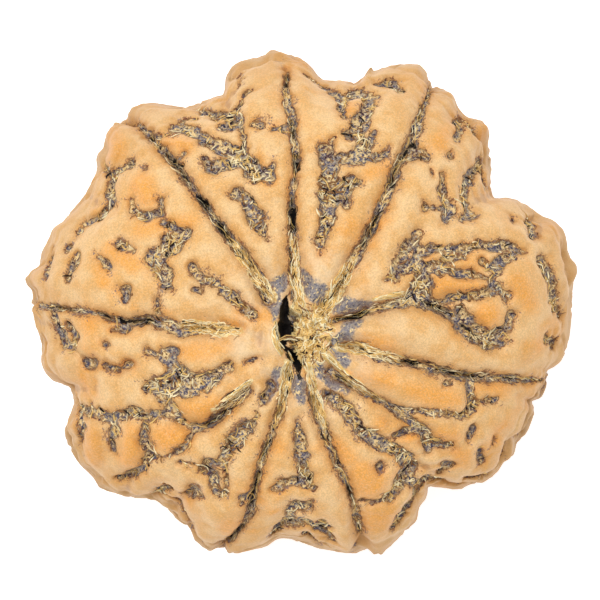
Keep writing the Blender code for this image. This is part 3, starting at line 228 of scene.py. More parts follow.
    [(-6.6, -4.8, 0.36), (-6.4, -5.3, 0.36), (-6.1, -5.7, 0.28)],
    [(-7.2, -5.6, 0.22), (-6.5, -5.65, 0.2), (-5.9, -6.0, 0.18)],
    [(-7.4, -5.8, 0.26), (-8.0, -5.6, 0.28), (-8.7, -5.6, 0.24), (-9.3, -5.85, 0.32), (-10.0, -5.5, 0.24),
     (-10.6, -5.4, 0.26)],
    [(-9.2, -5.9, 0.26), (-9.05, -6.2, 0.26), (-9.25, -6.8, 0.18), (-9.1, -7.4, 0.1)],
    [(-10.7, -5.3, 0.18), (-10.9, -4.7, 0.14), (-11.2, -4.2, 0.12), (-11.8, -3.9, 0.08)],
    [(-10.9, -5.0, 0.2), (-10.7, -5.6, 0.22), (-10.65, -6.2, 0.24), (-10.65, -6.8, 0.2), (-10.6, -7.2, 0.12)],
    [(-10.5, -7.35, 0.08)],
    [(-7.6, -6.1, 0.22), (-7.65, -6.9, 0.26), (-7.35, -7.45, 0.26), (-7.55, -8.05, 0.18), (-8.1, -8.5, 0.2),
     (-8.85, -8.7, 0.2)],
    [(-7.2, -7.6, 0.12), (-6.6, -7.68, 0.08), (-6.0, -7.5, 0.08)],
    [(-10.4, -8.7, 0.06), (-9.7, -9.05, 0.06)],
    [(-10.5, -3.15, 0.2), (-10.2, -3.1, 0.3)],
    [(-9.6, -3.25, 0.14), (-9.2, -3.35, 0.1), (-8.4, -3.3, 0.14)],
    [(-9.5, -2.2, 0.2)],
    [(-11.9, -0.7, 0.2), (-11.8, -1.4, 0.34), (-11.5, -2.0, 0.34), (-11.1, -2.3, 0.26), (-10.95, -1.8, 0.2),
     (-11.3, -1.2, 0.16)],
    [(-12.3, -2.1, 0.12), (-12.2, -2.5, 0.08)],
    [(-9.1, -1.45, 0.16), (-8.5, -1.35, 0.15)],
    [(-2.2, -0.7, 0.18), (-2.7, -0.4, 0.22), (-3.4, 0.2, 0.28), (-4.0, 0.75, 0.2), (-4.7, 1.0, 0.28),
     (-5.3, 1.6, 0.2)],
    [(-5.2, 0.5, 0.16), (-4.9, 0.45, 0.12)],
    [(-6.9, 0.05, 0.15), (-6.95, -0.6, 0.12)],
    [(-6.4, 0.6, 0.2), (-6.6, 1.1, 0.36), (-6.9, 1.65, 0.46), (-7.3, 2.1, 0.32), (-6.75, 2.35, 0.42),
     (-6.2, 2.8, 0.54), (-5.8, 3.2, 0.42)],
    [(-6.3, 3.6, 0.2), (-6.7, 3.8, 0.16)],
    [(-8.95, 2.8, 0.18), (-8.2, 2.5, 0.2)],
    [(-8.3, 4.9, 0.12), (-8.05, 4.3, 0.2), (-7.5, 4.05, 0.25), (-6.9, 4.3, 0.26), (-6.8, 5.1, 0.14)],
    [(-7.6, 6.5, 0.16)],
    [(-9.6, 6.7, 0.13), (-9.25, 6.15, 0.2), (-8.7, 6.4, 0.22), (-8.2, 6.8, 0.24)],
    [(-9.15, 6.0, 0.18), (-9.25, 5.4, 0.24), (-9.1, 4.8, 0.24), (-9.8, 4.1, 0.24), (-10.5, 3.7, 0.2),
     (-10.85, 3.3, 0.14)],
    [(-11.3, 2.5, 0.22)],
    [(-10.9, 2.1, 0.18), (-11.15, 1.5, 0.24), (-11.3, 1.05, 0.12)],
    [(-12.0, 2.4, 0.18), (-12.1, 1.7, 0.15), (-12.25, 1.2, 0.1)],
    [(-9.85, 2.1, 0.18), (-9.3, 1.6, 0.22)],
    [(-8.65, 0.5, 0.14), (-8.45, 0.4, 0.2), (-8.5, -0.05, 0.14)],
    [(-6.2, -7.5, 0.08), (-5.8, -7.4, 0.1), (-5.5, -7.0, 0.08), (-5.25, -6.6, 0.08), (-5.1, -6.3, 0.12)],
    [(-2.6, -3.05, 0.05), (-2.35, -2.95, 0.1), (-2.15, -2.85, 0.05)],
]

# Where a seam or the stem pit has opened to a dark gap.
gapLines = [
    [(-0.65, 0.3, 0.04), (-0.75, -0.1, 0.1), (-0.82, -0.7, 0.12), (-0.82, -1.3, 0.26), (-0.8, -1.8, 0.2),
     (-0.72, -2.3, 0.14), (-0.45, -2.7, 0.24), (-0.15, -3.0, 0.28), (-0.1, -3.5, 0.1), (0.0, -3.85, 0.04)],
    [(-0.85, -0.9, 0.14), (-0.55, -1.15, 0.16), (-0.3, -1.45, 0.12)],
    [(-0.5, -3.75, 0.1)],
    [(2.2, -0.9, 0.01), (2.9, -0.8, 0.03), (3.4, -0.55, 0.03)],
    [(-3.9, 3.6, 0.09), (-3.5, 3.1, 0.07), (-3.1, 2.4, 0.1)],
    [(-5.1, 5.3, 0.07), (-4.95, 5.05, 0.1), (-4.6, 4.7, 0.06)],
    [(-6.2, 6.9, 0.08), (-5.9, 6.6, 0.12)],
    [(-0.35, 4.5, 0.14), (-0.3, 4.1, 0.14), (-0.35, 3.5, 0.08)],
    [(-0.15, 6.6, 0.13), (-0.15, 6.35, 0.1)],
    [(5.55, 8.1, 0.07), (5.62, 7.65, 0.06)],
    [(4.6, 5.75, 0.14)],
    [(5.1, -2.98, 0.08), (5.8, -3.15, 0.07)],
    [(-1.3, -6.4, 0.15)],
    [(-9.0, -0.95, 0.1), (-8.6, -1.1, 0.1)],
    [(-7.6, -1.1, 0.1)],
    [(-6.55, 2.2, 0.1)],
]

# Soft furrows where one lump meets the next with no hollow between them: (x, y, half width).
creaseLines = [
    [(-3.0, 11.35, 0.1), (-2.4, 11.75, 0.1), (-1.6, 11.85, 0.1), (-1.05, 11.55, 0.12), (-0.75, 11.15, 0.12)],
    [(-3.3, 10.2, 0.1), (-3.5, 9.8, 0.12), (-3.5, 9.4, 0.1)],
    [(3.2, 11.3, 0.08), (2.9, 10.7, 0.1), (2.6, 10.4, 0.1)],
    [(6.3, 10.3, 0.1), (6.45, 10.55, 0.12), (6.6, 10.8, 0.1)],
    [(8.6, 7.95, 0.08), (9.0, 7.75, 0.1), (9.4, 7.7, 0.1)],
    [(9.15, 7.45, 0.1), (9.0, 6.9, 0.1)],
    [(8.5, 4.75, 0.12), (9.0, 5.0, 0.14), (9.5, 5.2, 0.12)],
    [(12.15, 4.15, 0.14), (11.8, 3.65, 0.14), (11.6, 3.1, 0.1)],
    [(12.65, 2.5, 0.06), (12.85, 2.0, 0.1), (13.0, 1.5, 0.1), (13.0, 1.0, 0.06)],
    [(11.75, -4.7, 0.1), (11.4, -5.1, 0.12), (11.2, -5.45, 0.12)],
    [(11.1, -5.6, 0.1), (10.75, -6.1, 0.12), (10.5, -6.7, 0.12), (10.1, -7.2, 0.1)],
    [(6.0, -8.1, 0.08), (6.35, -8.35, 0.1), (6.9, -8.45, 0.08)],
    [(6.6, -8.75, 0.1), (7.3, -8.95, 0.1), (7.8, -9.2, 0.08)],
    [(2.95, -11.6, 0.08), (3.2, -12.3, 0.1)],
    [(-6.4, -10.5, 0.1), (-6.0, -9.9, 0.12), (-5.4, -9.5, 0.1)],
    [(-8.6, -9.7, 0.1), (-8.2, -9.1, 0.12), (-8.3, -8.6, 0.1)],
    [(-11.3, -4.3, 0.14), (-10.7, -4.35, 0.12), (-10.0, -4.3, 0.1)],
    [(-13.3, -0.6, 0.1), (-12.8, -0.9, 0.1), (-12.2, -1.2, 0.1)],
    [(-10.3, 5.2, 0.12), (-9.8, 4.7, 0.12), (-9.2, 4.5, 0.08)],
    [(-10.7, -2.75, 0.06), (-9.8, -3.1, 0.08), (-8.9, -3.35, 0.08), (-8.2, -3.15, 0.05)],
    [(-1.9, -1.6, 0.02), (-1.95, -2.2, 0.03), (-1.85, -2.8, 0.02)],
    [(-2.0, -3.3, 0.02), (-1.7, -3.7, 0.03), (-1.6, -4.0, 0.02)],
]

# Lumps that stand a little proud, worn smooth and orange on top: (x, y, half width).
knobLines = [
    [(6.9, 0.75, 0.5), (7.8, 0.72, 0.34), (8.9, 0.7, 0.16)],
    [(9.25, -0.75, 0.6)],
    [(8.1, 1.85, 0.2), (8.8, 1.82, 0.2)],
    [(6.4, 2.0, 0.2)],
    [(2.4, 9.3, 0.34)],
    [(3.1, -8.6, 0.7), (3.4, -9.0, 0.8)],
    [(-6.7, -6.8, 0.6), (-5.9, -6.8, 0.6)],
    [(-8.15, -6.5, 0.36), (-8.3, -7.7, 0.64)],
    [(-5.6, -5.3, 0.3), (-4.8, -5.45, 0.5), (-4.3, -5.1, 0.36)],
    [(-10.1, -6.6, 0.5), (-10.0, -7.5, 0.6)],
    [(6.9, -6.55, 0.4), (7.5, -6.6, 0.3)],
    [(4.0, -6.1, 0.34)],
    [(-9.1, 7.9, 0.6), (-8.9, 7.3, 0.7)],
    [(-7.7, 5.6, 0.6), (-7.5, 5.1, 0.5)],
    [(9.0, 8.4, 0.34)],
    [(-6.3, 7.75, 0.28), (-5.5, 7.55, 0.34)],
]

# Places where the skin is orange without standing up: (x, y, half width).
warmLines = [
    [(5.2, -4.3, 0.3), (6.5, -4.7, 0.5), (7.6, -4.9, 0.35)],
    [(8.7, -4.4, 0.15), (10.0, -4.35, 0.3)],
    [(10.6, 0.9, 0.5), (11.2, -0.2, 0.4)],
    [(-6.0, -2.6, 0.25), (-4.6, -2.5, 0.35), (-3.6, -2.3, 0.2)],
    [(7.8, -7.6, 0.4)],
    [(3.6, -10.8, 0.7), (4.3, -10.3, 0.4)],
    [(3.4, 6.2, 0.3), (4.2, 6.45, 0.3)],
    [(12.5, 3.5, 0.4)],
    [(-9.3, 2.4, 0.3), (-8.2, 1.8, 0.35)],
    [(-10.3, -1.2, 0.5)],
    [(1.9, -7.0, 0.2), (2.4, -7.8, 0.35)],
    [(-1.0, -7.2, 0.35)],
    [(3.2, -2.0, 0.3), (4.4, -2.2, 0.3)],
    [(3.0, -3.7, 0.25), (4.4, -4.0, 0.35)],
    [(-3.3, -10.8, 0.5)],
    [(7.0, 8.2, 0.3), (6.8, 7.6, 0.4)],
    [(-7.9, 3.4, 0.3), (-5.3, 3.9, 0.3)],
]

# The smooth slate collar round the stem end, between the seams: (x, y, half width).
collarLines = [
    [(-1.9, 0.3, 0.2), (-1.4, 0.5, 0.4), (-0.9, 0.8, 0.36), (-0.65, 1.3, 0.14)],
    [(0.15, 1.5, 0.1), (0.35, 0.8, 0.42), (0.85, 0.45, 0.5), (1.2, 0.0, 0.36)],
    [(1.7, -0.3, 0.3), (2.4, -0.3, 0.45), (3.1, -0.28, 0.34), (3.9, -0.3, 0.18)],
    [(2.8, -1.15, 0.26), (2.3, -1.4, 0.4), (2.0, -1.9, 0.42), (1.95, -2.5, 0.42), (2.1, -3.0, 0.34)],
    [(0.9, -3.4, 0.3), (1.3, -3.7, 0.38), (1.7, -4.0, 0.45), (2.3, -4.5, 0.24)],
    [(-0.5, -3.9, 0.3), (-0.05, -4.2, 0.42), (0.1, -4.9, 0.16)],
    [(-1.1, -3.5, 0.24), (-1.3, -4.2, 0.3), (-1.6, -4.8, 0.16)],
    [(-1.6, 0.0, 0.36), (-1.2, 0.0, 0.4), (-1.25, -0.5, 0.3), (-1.35, -1.0, 0.14)],
]
stemPit = [[(-0.55, -0.9, 0.3), (-0.05, -1.35, 0.75), (0.2, -2.0, 0.8), (-0.2, -2.9, 0.35)]]

# Pale pith that fills the seams near the stem end and lies round its pit: (x, y, half width).
pithLines = [
    [(-0.1, -0.5, 0.4), (-0.05, 0.1, 0.26), (-0.2, 0.9, 0.2), (-0.28, 2.0, 0.2), (-0.3, 3.1, 0.14)],
    [(0.8, -1.3, 0.5), (1.15, -0.7, 0.32), (1.7, 0.3, 0.32), (2.2, 1.2, 0.28), (2.6, 2.0, 0.16)],
    [(-1.3, 0.1, 0.22), (-1.7, 0.6, 0.24), (-2.3, 1.3, 0.24), (-2.9, 2.2, 0.18), (-3.3, 2.9, 0.1)],
    [(1.2, -2.7, 0.2), (1.7, -3.1, 0.14), (2.5, -3.95, 0.12), (3.4, -4.6, 0.12), (4.1, -5.0, 0.06)],
    [(0.35, -2.7, 0.3), (0.5, -3.5, 0.18), (0.7, -4.5, 0.2), (1.0, -5.6, 0.18), (1.25, -6.4, 0.1)],
    [(-0.55, -3.0, 0.16), (-0.65, -3.5, 0.26), (-0.72, -4.2, 0.24), (-0.9, -5.4, 0.18), (-1.1, -6.0, 0.1)],
    [(1.9, -2.3, 0.18), (2.5, -2.35, 0.26), (3.5, -2.55, 0.26), (4.4, -2.8, 0.2), (5.2, -2.95, 0.12)],
    [(-3.0, -1.55, 0.24), (-3.8, -1.5, 0.32), (-5.0, -1.3, 0.3), (-5.9, -1.2, 0.14)],
    [(-2.4, -4.0, 0.12), (-3.2, -4.6, 0.16), (-4.2, -5.4, 0.14)],
    [(-1.25, -1.1, 0.1), (-1.25, -1.6, 0.16), (-1.15, -2.2, 0.12), (-0.85, -2.75, 0.08)],
    [(3.6, 0.0, 0.07), (4.4, 0.2, 0.12), (5.2, 0.35, 0.1)],
]

relief = {
    "widen": 0.03,  # the hollows' brown lip, which lies outside the traced slate floors
    "shoulderDepth": 0.16, "shoulderReach": 0.3,
    "pillowDepth": 0.28, "pillowReach": 1.1,
    "knobHeight": 0.3, "knobReach": 0.3,
    "collarDepth": 0.12, "collarReach": 0.15,
    "beltFade": 0.3, "beltHeight": 1.5,  # hollows are shallower where the bead is widest
    "creaseDepth": 0.32, "creaseReach": 0.28,
    "hollowDepth": 0.5, "hollowReach": 0.11,
    "pithRise": 0.22, "pithReach": 0.1,
    "seamDepth": 0.45, "seamReach": 1.7,
    "gapDepth": 0.9, "gapReach": 0.12,
    "funnelDepth": 0.7, "funnelReach": 2.0,
    "pitDepth": 1.1, "pitReach": 0.3,
    "swellHeight": 0.24, "dentHeight": 0.09, "skinRipple": 0.025,
    "crackDepth": 0.7, "crackReach": 0.1, "crackClosed": 2.0, "crackOpen": 0.12, "crackRagged": 0.6,
    "edgeWander": 0.24, "seamWander": 0.4, "gapWander": 0.8, "pithWander": 0.5,
    "edgeShrink": 0.06,  # so little that thin strokes stay whole
    "edgeRagged": 0.09, "floorRough": 0.09, "floorRoughFrom": 0.12,
    "foldDepth": 0.15, "foldReach": 0.08,  # wrinkles, deepest towards the widest part
    "foldBand": 5.5, "foldLeast": 0.15,
}
# Each random wave's length in millimetres, and its seed.
reliefWaves = {
    "wander": (0.55, 1), "swell": (2.1, 2), "ragged": (0.3, 3), "floor": (0.3, 4), "ripple": (0.55, 5),
    "crack": (1.3, 6), "dent": (0.8, 8), "fold": (2.0, 11),
}
# The guessed side below: each seam runs on, swaying by some degrees, and short hollows are strewn at random.
lower = {
    "seed": 11, "blossomPitWidth": 0.55,
    "seamPlaces": (0.04, 0.95, 16), "sway": (2, 5), "swayTurns": 7, "swayJitter": 1, "seamWidth": (0.1, 0.3),
    "hollows": 190, "tries": 9000, "longTries": 500, "spacing": 1.05,
    "longLength": 3.2, "longWidth": (0.16, 0.4), "shortLengths": (0.0, 0.8, 1.6), "shortWidth": (0.1, 0.26),
    "headings": (0.2, 0.9, 1.6, 2.3, 2.9), "headingJitter": 0.4, "bend": 0.7, "flankLength": 18,
    "segments": 4, "widthJitter": (0.8, 1.2), "tip": 0.5, "leastReach": 2.0,
    "starts": (-0.05, 0.98), "range": (-0.06, 0.95),  # shares of the way down
}
skin = {"subdivisions": 8, "keptShare": 0.59, "maskRange": (-1, 3)}


def smoothClosed(points, steps):  # a closed curve through all the points
    points = np.array(points, float)
    before, after = np.roll(points, 1, axis=0), np.roll(points, -1, axis=0)
    beyond = np.roll(points, -2, axis=0)
    spans = []
    for t in np.arange(steps) / steps:
        spans.append(
            0.5 * (2 * points + (after - before) * t + (2 * before - 5 * points + 4 * after - beyond) * t**2
                   + (3 * points - before - 3 * after + beyond) * t**3)
        )
    return np.stack(spans, axis=1).reshape(-1, 2)


def outlineRadii():  # the silhouette's radius to each half degree, as traced and blurred
    curve = smoothClosed(outlinePoints, outline["curveSteps"])
    bearing = np.arctan2(curve[:, 1], curve[:, 0])
    radius = np.hypot(curve[:, 0], curve[:, 1]) + dome["outlineMargin"]
    order = np.argsort(bearing)
    bearings = np.radians(np.arange(outline["slots"]) / outline["slotsPerDegree"] - 180)
    traced = np.interp(bearings, bearing[order], radius[order], period=2 * math.pi)
    reach = outline["blurReach"]
    blur = np.exp(-(np.arange(-reach, reach + 1) / outline["blur"]) ** 2)
    wrapped = np.concatenate([traced[-reach:], traced, traced[:reach]])
    return bearings, traced, np.convolve(wrapped, blur / blur.sum(), mode="valid")


bearings, tracedRadius, smoothRadius = outlineRadii()


def radiusAt(bearing, heightShare):
    nearMiddle = np.exp(-((heightShare / outline["tracedBand"]) ** 2))
    traced = np.interp(bearing, bearings, tracedRadius, period=2 * math.pi)
    smooth = np.interp(bearing, bearings, smoothRadius, period=2 * math.pi)
    return smooth + nearMiddle * (traced - smooth)


def domePoints(directions):
    power = dome["squareness"]
    across = np.hypot(directions[:, 0], directions[:, 1])
    scale = (across**power + np.abs(directions[:, 2]) ** power) ** (-1 / power)
    across, up = across * scale, directions[:, 2] * scale
    bearing = np.arctan2(directions[:, 1], directions[:, 0])
    radius = across * radiusAt(bearing, up)
    height = dome["centreHeight"] + up * dome["halfHeight"]
    return np.stack([radius * np.cos(bearing), radius * np.sin(bearing), height], axis=1)


def inward(points):
    # Level at the widest part and steeper away from it, so that a hollow shows where it was traced.
    halves = np.array([*dome["halfWidths"], dome["halfHeight"]])
    slope = (points - np.array([0, 0, dome["centreHeight"]])) / halves**2
    away = np.clip(np.abs(points[:, 2] - dome["centreHeight"]) / dome["steepFrom"], 0, 1)
    slope[:, :2] *= (1 - dome["steepness"] * away * away * (3 - 2 * away))[:, None]
    return -slope / np.linalg.norm(slope, axis=1)[:, None]


def domeOver(x, y):  # the dome's point whose sunken floor shows at this plan place
    power = dome["squareness"]
    bearing, seen = math.atan2(y, x), math.hypot(x, y)
    up, reach = 0.6, seen  # a first guess, which each round brings nearer
    for _ in range(4):
        outer = float(radiusAt(bearing, up))
        share = min(reach / outer, dome["widestShare"])
        up = (1 - share**power) ** (1 / power)
        height = dome["centreHeight"] + up * dome["halfHeight"]
        point = Vector((share * outer * math.cos(bearing), share * outer * math.sin(bearing), height))
        way = inward(np.array([point]))[0]
        reach = seen + dome["floorDepth"] * math.hypot(way[0], way[1])
    return point


def underDome(bearing, downShare):  # 0 at the widest part, 1 at the blossom end
    angle = math.radians(90 + 90 * downShare)
    direction = (math.sin(angle) * math.cos(bearing), math.sin(angle) * math.sin(bearing), math.cos(angle))
    point = Vector(domePoints(np.array([direction]))[0])
    return point + Vector((*dome["blossomEnd"], 0)) * downShare**2


def planStrokes(lines):
    return [[(domeOver(x, y), width) for x, y, width in line] for line in lines]


def lowerSeams():
    chance = random.Random(lower["seed"])
    runs = []
    for line in seamLines:
        end = line[-1]
        bearing = math.atan2(end[1], end[0])
        run = [(domeOver(end[0], end[1]), end[2])]
        phase, swing = chance.uniform(0, 6.3), math.radians(chance.uniform(*lower["sway"]))
        for share in np.linspace(*lower["seamPlaces"]):
            jitter = math.radians(chance.uniform(-lower["swayJitter"], lower["swayJitter"]))
            sway = swing * math.sin(phase + lower["swayTurns"] * share) * (1 - share) + jitter
            taper = (1.1 - 0.6 * share) * min(0.3 + 4 * share, 1)  # narrow where it starts and ends
            width = chance.uniform(*lower["seamWidth"]) * taper
            run.append((underDome(bearing + sway, float(share)), width))
        runs.append(run)
    return runs


def lowerHollows(seams):
    chance = random.Random(lower["seed"])
    taken = [point for run in seams for point, _ in run]
    segments, (least, most) = lower["segments"], lower["range"]
    runs = []
    for attempt in range(lower["tries"]):
        if len(runs) == lower["hollows"]:
            break
        bearing = chance.uniform(-math.pi, math.pi)
        share = math.asin(chance.uniform(*lower["starts"])) / (math.pi / 2)
        start = underDome(bearing, share)
        turn = chance.choice(lower["headings"])
        turn += chance.uniform(-lower["headingJitter"], lower["headingJitter"])
        length = lower["longLength"] if attempt < lower["longTries"] else chance.choice(lower["shortLengths"])
        wide = chance.uniform(*lower["longWidth" if length > 1 else "shortWidth"])
        run = []
        for step in range(segments + 1 if length else 1):
            width = wide * (lower["tip"] if step in (0, segments) else chance.uniform(*lower["widthJitter"]))
            run.append((underDome(bearing, share), width))
            turn += chance.uniform(-lower["bend"], lower["bend"])
            reach = max(math.hypot(start.x, start.y), lower["leastReach"])
            bearing += math.cos(turn) * length / segments / reach
            share = min(max(share + math.sin(turn) * length / segments / lower["flankLength"], least), most)
        if all((point - other).length > lower["spacing"] for point, _ in run for other in taken):
            taken += [point for point, _ in run]
            runs.append(run)
    return runs


def edgeDistance(points, runs, stretch):
    # Signed distance to the nearest stroke's edge, negative inside. Points far from all of them keep "far".
    nearest = np.full(len(points), strokeSearch["far"])
    scale = np.array([1, 1, stretch])
    flat = points * scale
    for run in runs:
        places = np.array([point[:] for point, _ in run]) * scale
        low, high = places.min(axis=0) - strokeSearch["margin"], places.max(axis=0) + strokeSearch["margin"]
        near = ((flat > low) & (flat < high)).all(axis=1).nonzero()[0]
        steps = list(zip(run, run[1:])) or [(run[0], run[0])]
        for (start, wide), (end, narrow) in steps:
            first, last = np.array(start) * scale, np.array(end) * scale
            along = last - first
            offset = flat[near] - first
            share = np.clip(offset @ along / max(along @ along, 1e-9), 0, 1)
            gap = np.linalg.norm(offset - share[:, None] * along, axis=1)
            nearest[near] = np.minimum(nearest[near], gap - (wide + share * (narrow - wide)))
    return nearest


def waves(points, name):
    length, seed = reliefWaves[name]
    shift = Vector((seed * 7.3, seed * 3.1, seed * 5.7))
    return np.array([noise.noise(Vector(point) / length + shift) for point in points])


def sunken(distance, depth, reach):
    return depth * (1 - np.exp(np.minimum(distance, 0) / reach))


def fitted(points):  # the widest place towards each bearing is brought onto the silhouette
    heightShare = (points[:, 2] - dome["centreHeight"]) / dome["halfHeight"]
    weight = np.exp(-((heightShare / outline["fitBand"]) ** 2))
    for _ in range(4):
        bearing = np.arctan2(points[:, 1], points[:, 0])
        reach = np.hypot(points[:, 0], points[:, 1])
        slot = np.round((np.degrees(bearing) + 180) * outline["slotsPerDegree"]).astype(int)
        slot = slot % outline["slots"]
        widest = np.zeros(outline["slots"])
        np.maximum.at(widest, slot, reach)
        short = tracedRadius - widest
        short = sum(np.roll(short, step) for step in range(-2, 3)) / 5
        growth = 1 + weight * np.interp(bearing, bearings, short, period=2 * math.pi) / reach.clip(4)
        points = points * np.stack([growth, growth, np.ones(len(points))], axis=1)
    return points


print("placing seams and hollows")
upperSeams, underSeams = planStrokes(seamLines), lowerSeams()
upperHollows, underHollows = planStrokes(hollowLines), lowerHollows(underSeams)
upperGaps, upperCreases = planStrokes(gapLines), planStrokes(creaseLines)
upperKnobs, upperWarm = planStrokes(knobLines), planStrokes(warmLines)
upperCollar, upperPith = planStrokes(collarLines), planStrokes(pithLines)
blossomPit = [[(Vector((*dome["blossomEnd"], -dome["flatDepth"])), lower["blossomPitWidth"])]]


def surfaceMasks(points):
    stretch = dome["flankStretch"]
    seam = np.minimum(edgeDistance(points, upperSeams, stretch), edgeDistance(points, underSeams, 1.0))
    hollow = np.minimum(edgeDistance(points, upperHollows, stretch), edgeDistance(points, underHollows, 1.0))
    wander = relief["edgeWander"] * waves(points, "wander")
    ragged = relief["edgeRagged"] * waves(points, "ragged")
    hollow = hollow + np.minimum(wander, relief["edgeShrink"])
    edge = np.minimum(seam + relief["seamWander"] * wander, hollow) + ragged - relief["widen"]
    lines = [[(point, 0.0) for point, _ in run] for run in upperSeams + underSeams]
    closed = np.clip(waves(points, "crack") + relief["crackOpen"], 0, 1)
    core = edgeDistance(points, lines, stretch) + relief["crackClosed"] * closed
    core = core + ragged * relief["crackRagged"]
    pit = edgeDistance(points, planStrokes(stemPit) + blossomPit, 1.0) + wander + ragged
    knob = edgeDistance(points, upperKnobs, stretch)
    return {
        "edge": np.minimum(edge, pit), "seam": seam + ragged, "core": core, "pit": pit, "knob": knob,
        "gap": edgeDistance(points, upperGaps, stretch) + ragged + wander * relief["gapWander"],
        "crease": edgeDistance(points, upperCreases, stretch) + wander,
        "warm": np.minimum(edgeDistance(points, upperWarm, stretch), knob),
        "collar": edgeDistance(points, upperCollar, stretch) + wander,
        "pith": edgeDistance(points, upperPith, stretch) + wander * relief["pithWander"] + ragged,
    }


def sinkOf(points, masks):  # how deep each point lies under the dome, in millimetres
    fromBelt = points[:, 2] - dome["centreHeight"]
    shoulder = relief["shoulderDepth"] * (1 - np.clip(masks["edge"] / relief["shoulderReach"], 0, 1)) ** 2
    pillow = relief["pillowDepth"] * (1 - np.clip(masks["edge"] / relief["pillowReach"], 0, 1)) ** 2
    furrow = relief["seamDepth"] * (1 - np.clip(masks["seam"] / relief["seamReach"], 0, 1)) ** 2
    floor = sunken(masks["edge"], relief["hollowDepth"], relief["hollowReach"])
    gap = sunken(masks["gap"], relief["gapDepth"], relief["gapReach"])
    crack = relief["crackDepth"] * np.exp(-((masks["core"].clip(0) / relief["crackReach"]) ** 2))
    belt = 1 - relief["beltFade"] * np.exp(-((fromBelt / relief["beltHeight"]) ** 2))
    cut = (shoulder + pillow + furrow + floor + gap + crack) * belt

    crease = relief["creaseDepth"] * np.exp(-((masks["crease"].clip(0) / relief["creaseReach"]) ** 2))
    pit = sunken(masks["pit"], relief["pitDepth"], relief["pitReach"])
    knob = -sunken(masks["knob"], relief["knobHeight"], relief["knobReach"])
    collar = sunken(masks["collar"], relief["collarDepth"], relief["collarReach"])
    pith = -sunken(masks["pith"], relief["pithRise"], relief["pithReach"])
    swell = relief["swellHeight"] * (1 - waves(points, "swell"))
    swell = swell + relief["dentHeight"] * (1 - waves(points, "dent"))
    inside = np.clip(-masks["edge"] / relief["floorRoughFrom"], 0, 1)
    rough = inside * relief["floorRough"] * waves(points, "floor")
    ripple = relief["skinRipple"] * waves(points, "ripple")
    aside = relief["foldLeast"] + (1 - relief["foldLeast"]) * np.exp(-((fromBelt / relief["foldBand"]) ** 2))
    wrinkle = np.exp(-((waves(points, "fold") / relief["foldReach"]) ** 2))
    fold = relief["foldDepth"] * aside * wrinkle
    fromStem = np.hypot(points[:, 0] - dome["stemEnd"][0], points[:, 1] - dome["stemEnd"][1])
    fromBlossom = np.hypot(points[:, 0] - dome["blossomEnd"][0], points[:, 1] - dome["blossomEnd"][1])
    fromEnd = np.where(fromBelt > 0, fromStem, fromBlossom)
    funnel = relief["funnelDepth"] * np.exp(-((fromEnd / relief["funnelReach"]) ** 2))
    return cut + crease + pit + swell + rough + ripple + fold + funnel + knob + collar + pith


def linearColour(code):  # sRGB hex to linear, with full alpha
    shares = [int(code[place:place + 2], 16) / 255 for place in (0, 2, 4)]
    return (*(s / 12.92 if s <= 0.04045 else ((s + 0.055) / 1.055) ** 2.4 for s in shares), 1.0)


def placed(name, data):  # a new object in the scene, at its origin
    thing = bpy.data.objects.new(name, data)
    bpy.context.scene.collection.objects.link(thing)
    return thing


def meshFrom(shell, name):
    mesh = bpy.data.meshes.new(name)
    shell.to_mesh(mesh)
    shell.free()
    return mesh


def addNode(tree, kind, links=None, output=0, **settings):
    # One node with its settings, and its inputs' links or values. Text is a hex colour. Gives one output.
    # A Map Range takes its value, two limits and what they turn into at 0 to 4. A colour Mix takes its factor
    # at 0 and its colours at 6 and 7, and gives a colour at 2.
    node = tree.nodes.new(kind)
    for name, value in settings.items():
        setattr(node, name, value)
    for name, value in (links or {}).items():
        if isinstance(value, bpy.types.NodeSocket):
            tree.links.new(value, node.inputs[name])
        else:
            node.inputs[name].default_value = linearColour(value) if isinstance(value, str) else value
    return node.outputs[output]


def newMaterial(name):
    material = bpy.data.materials.new(name)
    material.use_nodes = True
    tree = material.node_tree
    return material, tree, tree.nodes["Principled BSDF"]


stoneLook = {
    # Painted shade among these: the flank and rim-band browns, the crease brown, the orange-brown beside the
    # hollows, and the near-black in cracks, gaps, voids and pits, which also gives the collar's dark specks.
    "pale": "F0C78E", "tan": "E7B26D", "orange": "F2A440", "flankShade": "C08F55", "edgeBrownAndShade": "84523B",
    "slate": "5C586C", "mauve": "573F43", "crumb": "A47F55", "ash": "B9AF9F", "shadowAndSpeckBlack": "1A1412",
    "straw": "F0D39A", "velvet": "7A7884", "stain": "8E5F45", "marrow": "DCB673", "marrowLight": "F6E3AE",
    "shade": "CC9048", "rose": "F5D2A4", "bloom": "EFDABB", "rimShadeBrown": "98784F",
}
# Each pattern's grain in millimetres, its detail and its roughness. Real wax and dried flesh are finer than
# the picture's pixel of 0.05 mm, so the finest patterns here, at about 0.1 mm, are coarse enough to show.
stoneGrains = {
    "fine": (0.28, 3.0, 0.65), "broad": (2.6, 2.0, 0.55), "patch": (1.1, 2.0, 0.5),
    "rosyGrain": (0.1, 2.0, 0.7), "speckGrain": (0.09, 2.0, 0.8), "waxGrain": (0.09, 2.0, 0.6),
    "bloomGrain": (1.4, 3.0, 0.7), "floorPatch": (0.9, 2.0, 0.6), "floorGrain": (0.14, 2.0, 0.75),
    "crumbGrain": (0.35, 2.0, 0.6), "crustGrain": (0.7, 2.0, 0.6), "strawGrain": (0.17, 2.0, 0.7),
    "filmGrain": (0.2, 2.0, 0.7), "reachGrain": (0.8, 2.0, 0.6), "stainGrain": (0.11, 1.0, 0.6),
    "pithGrain": (0.22, 3.0, 0.7),
}
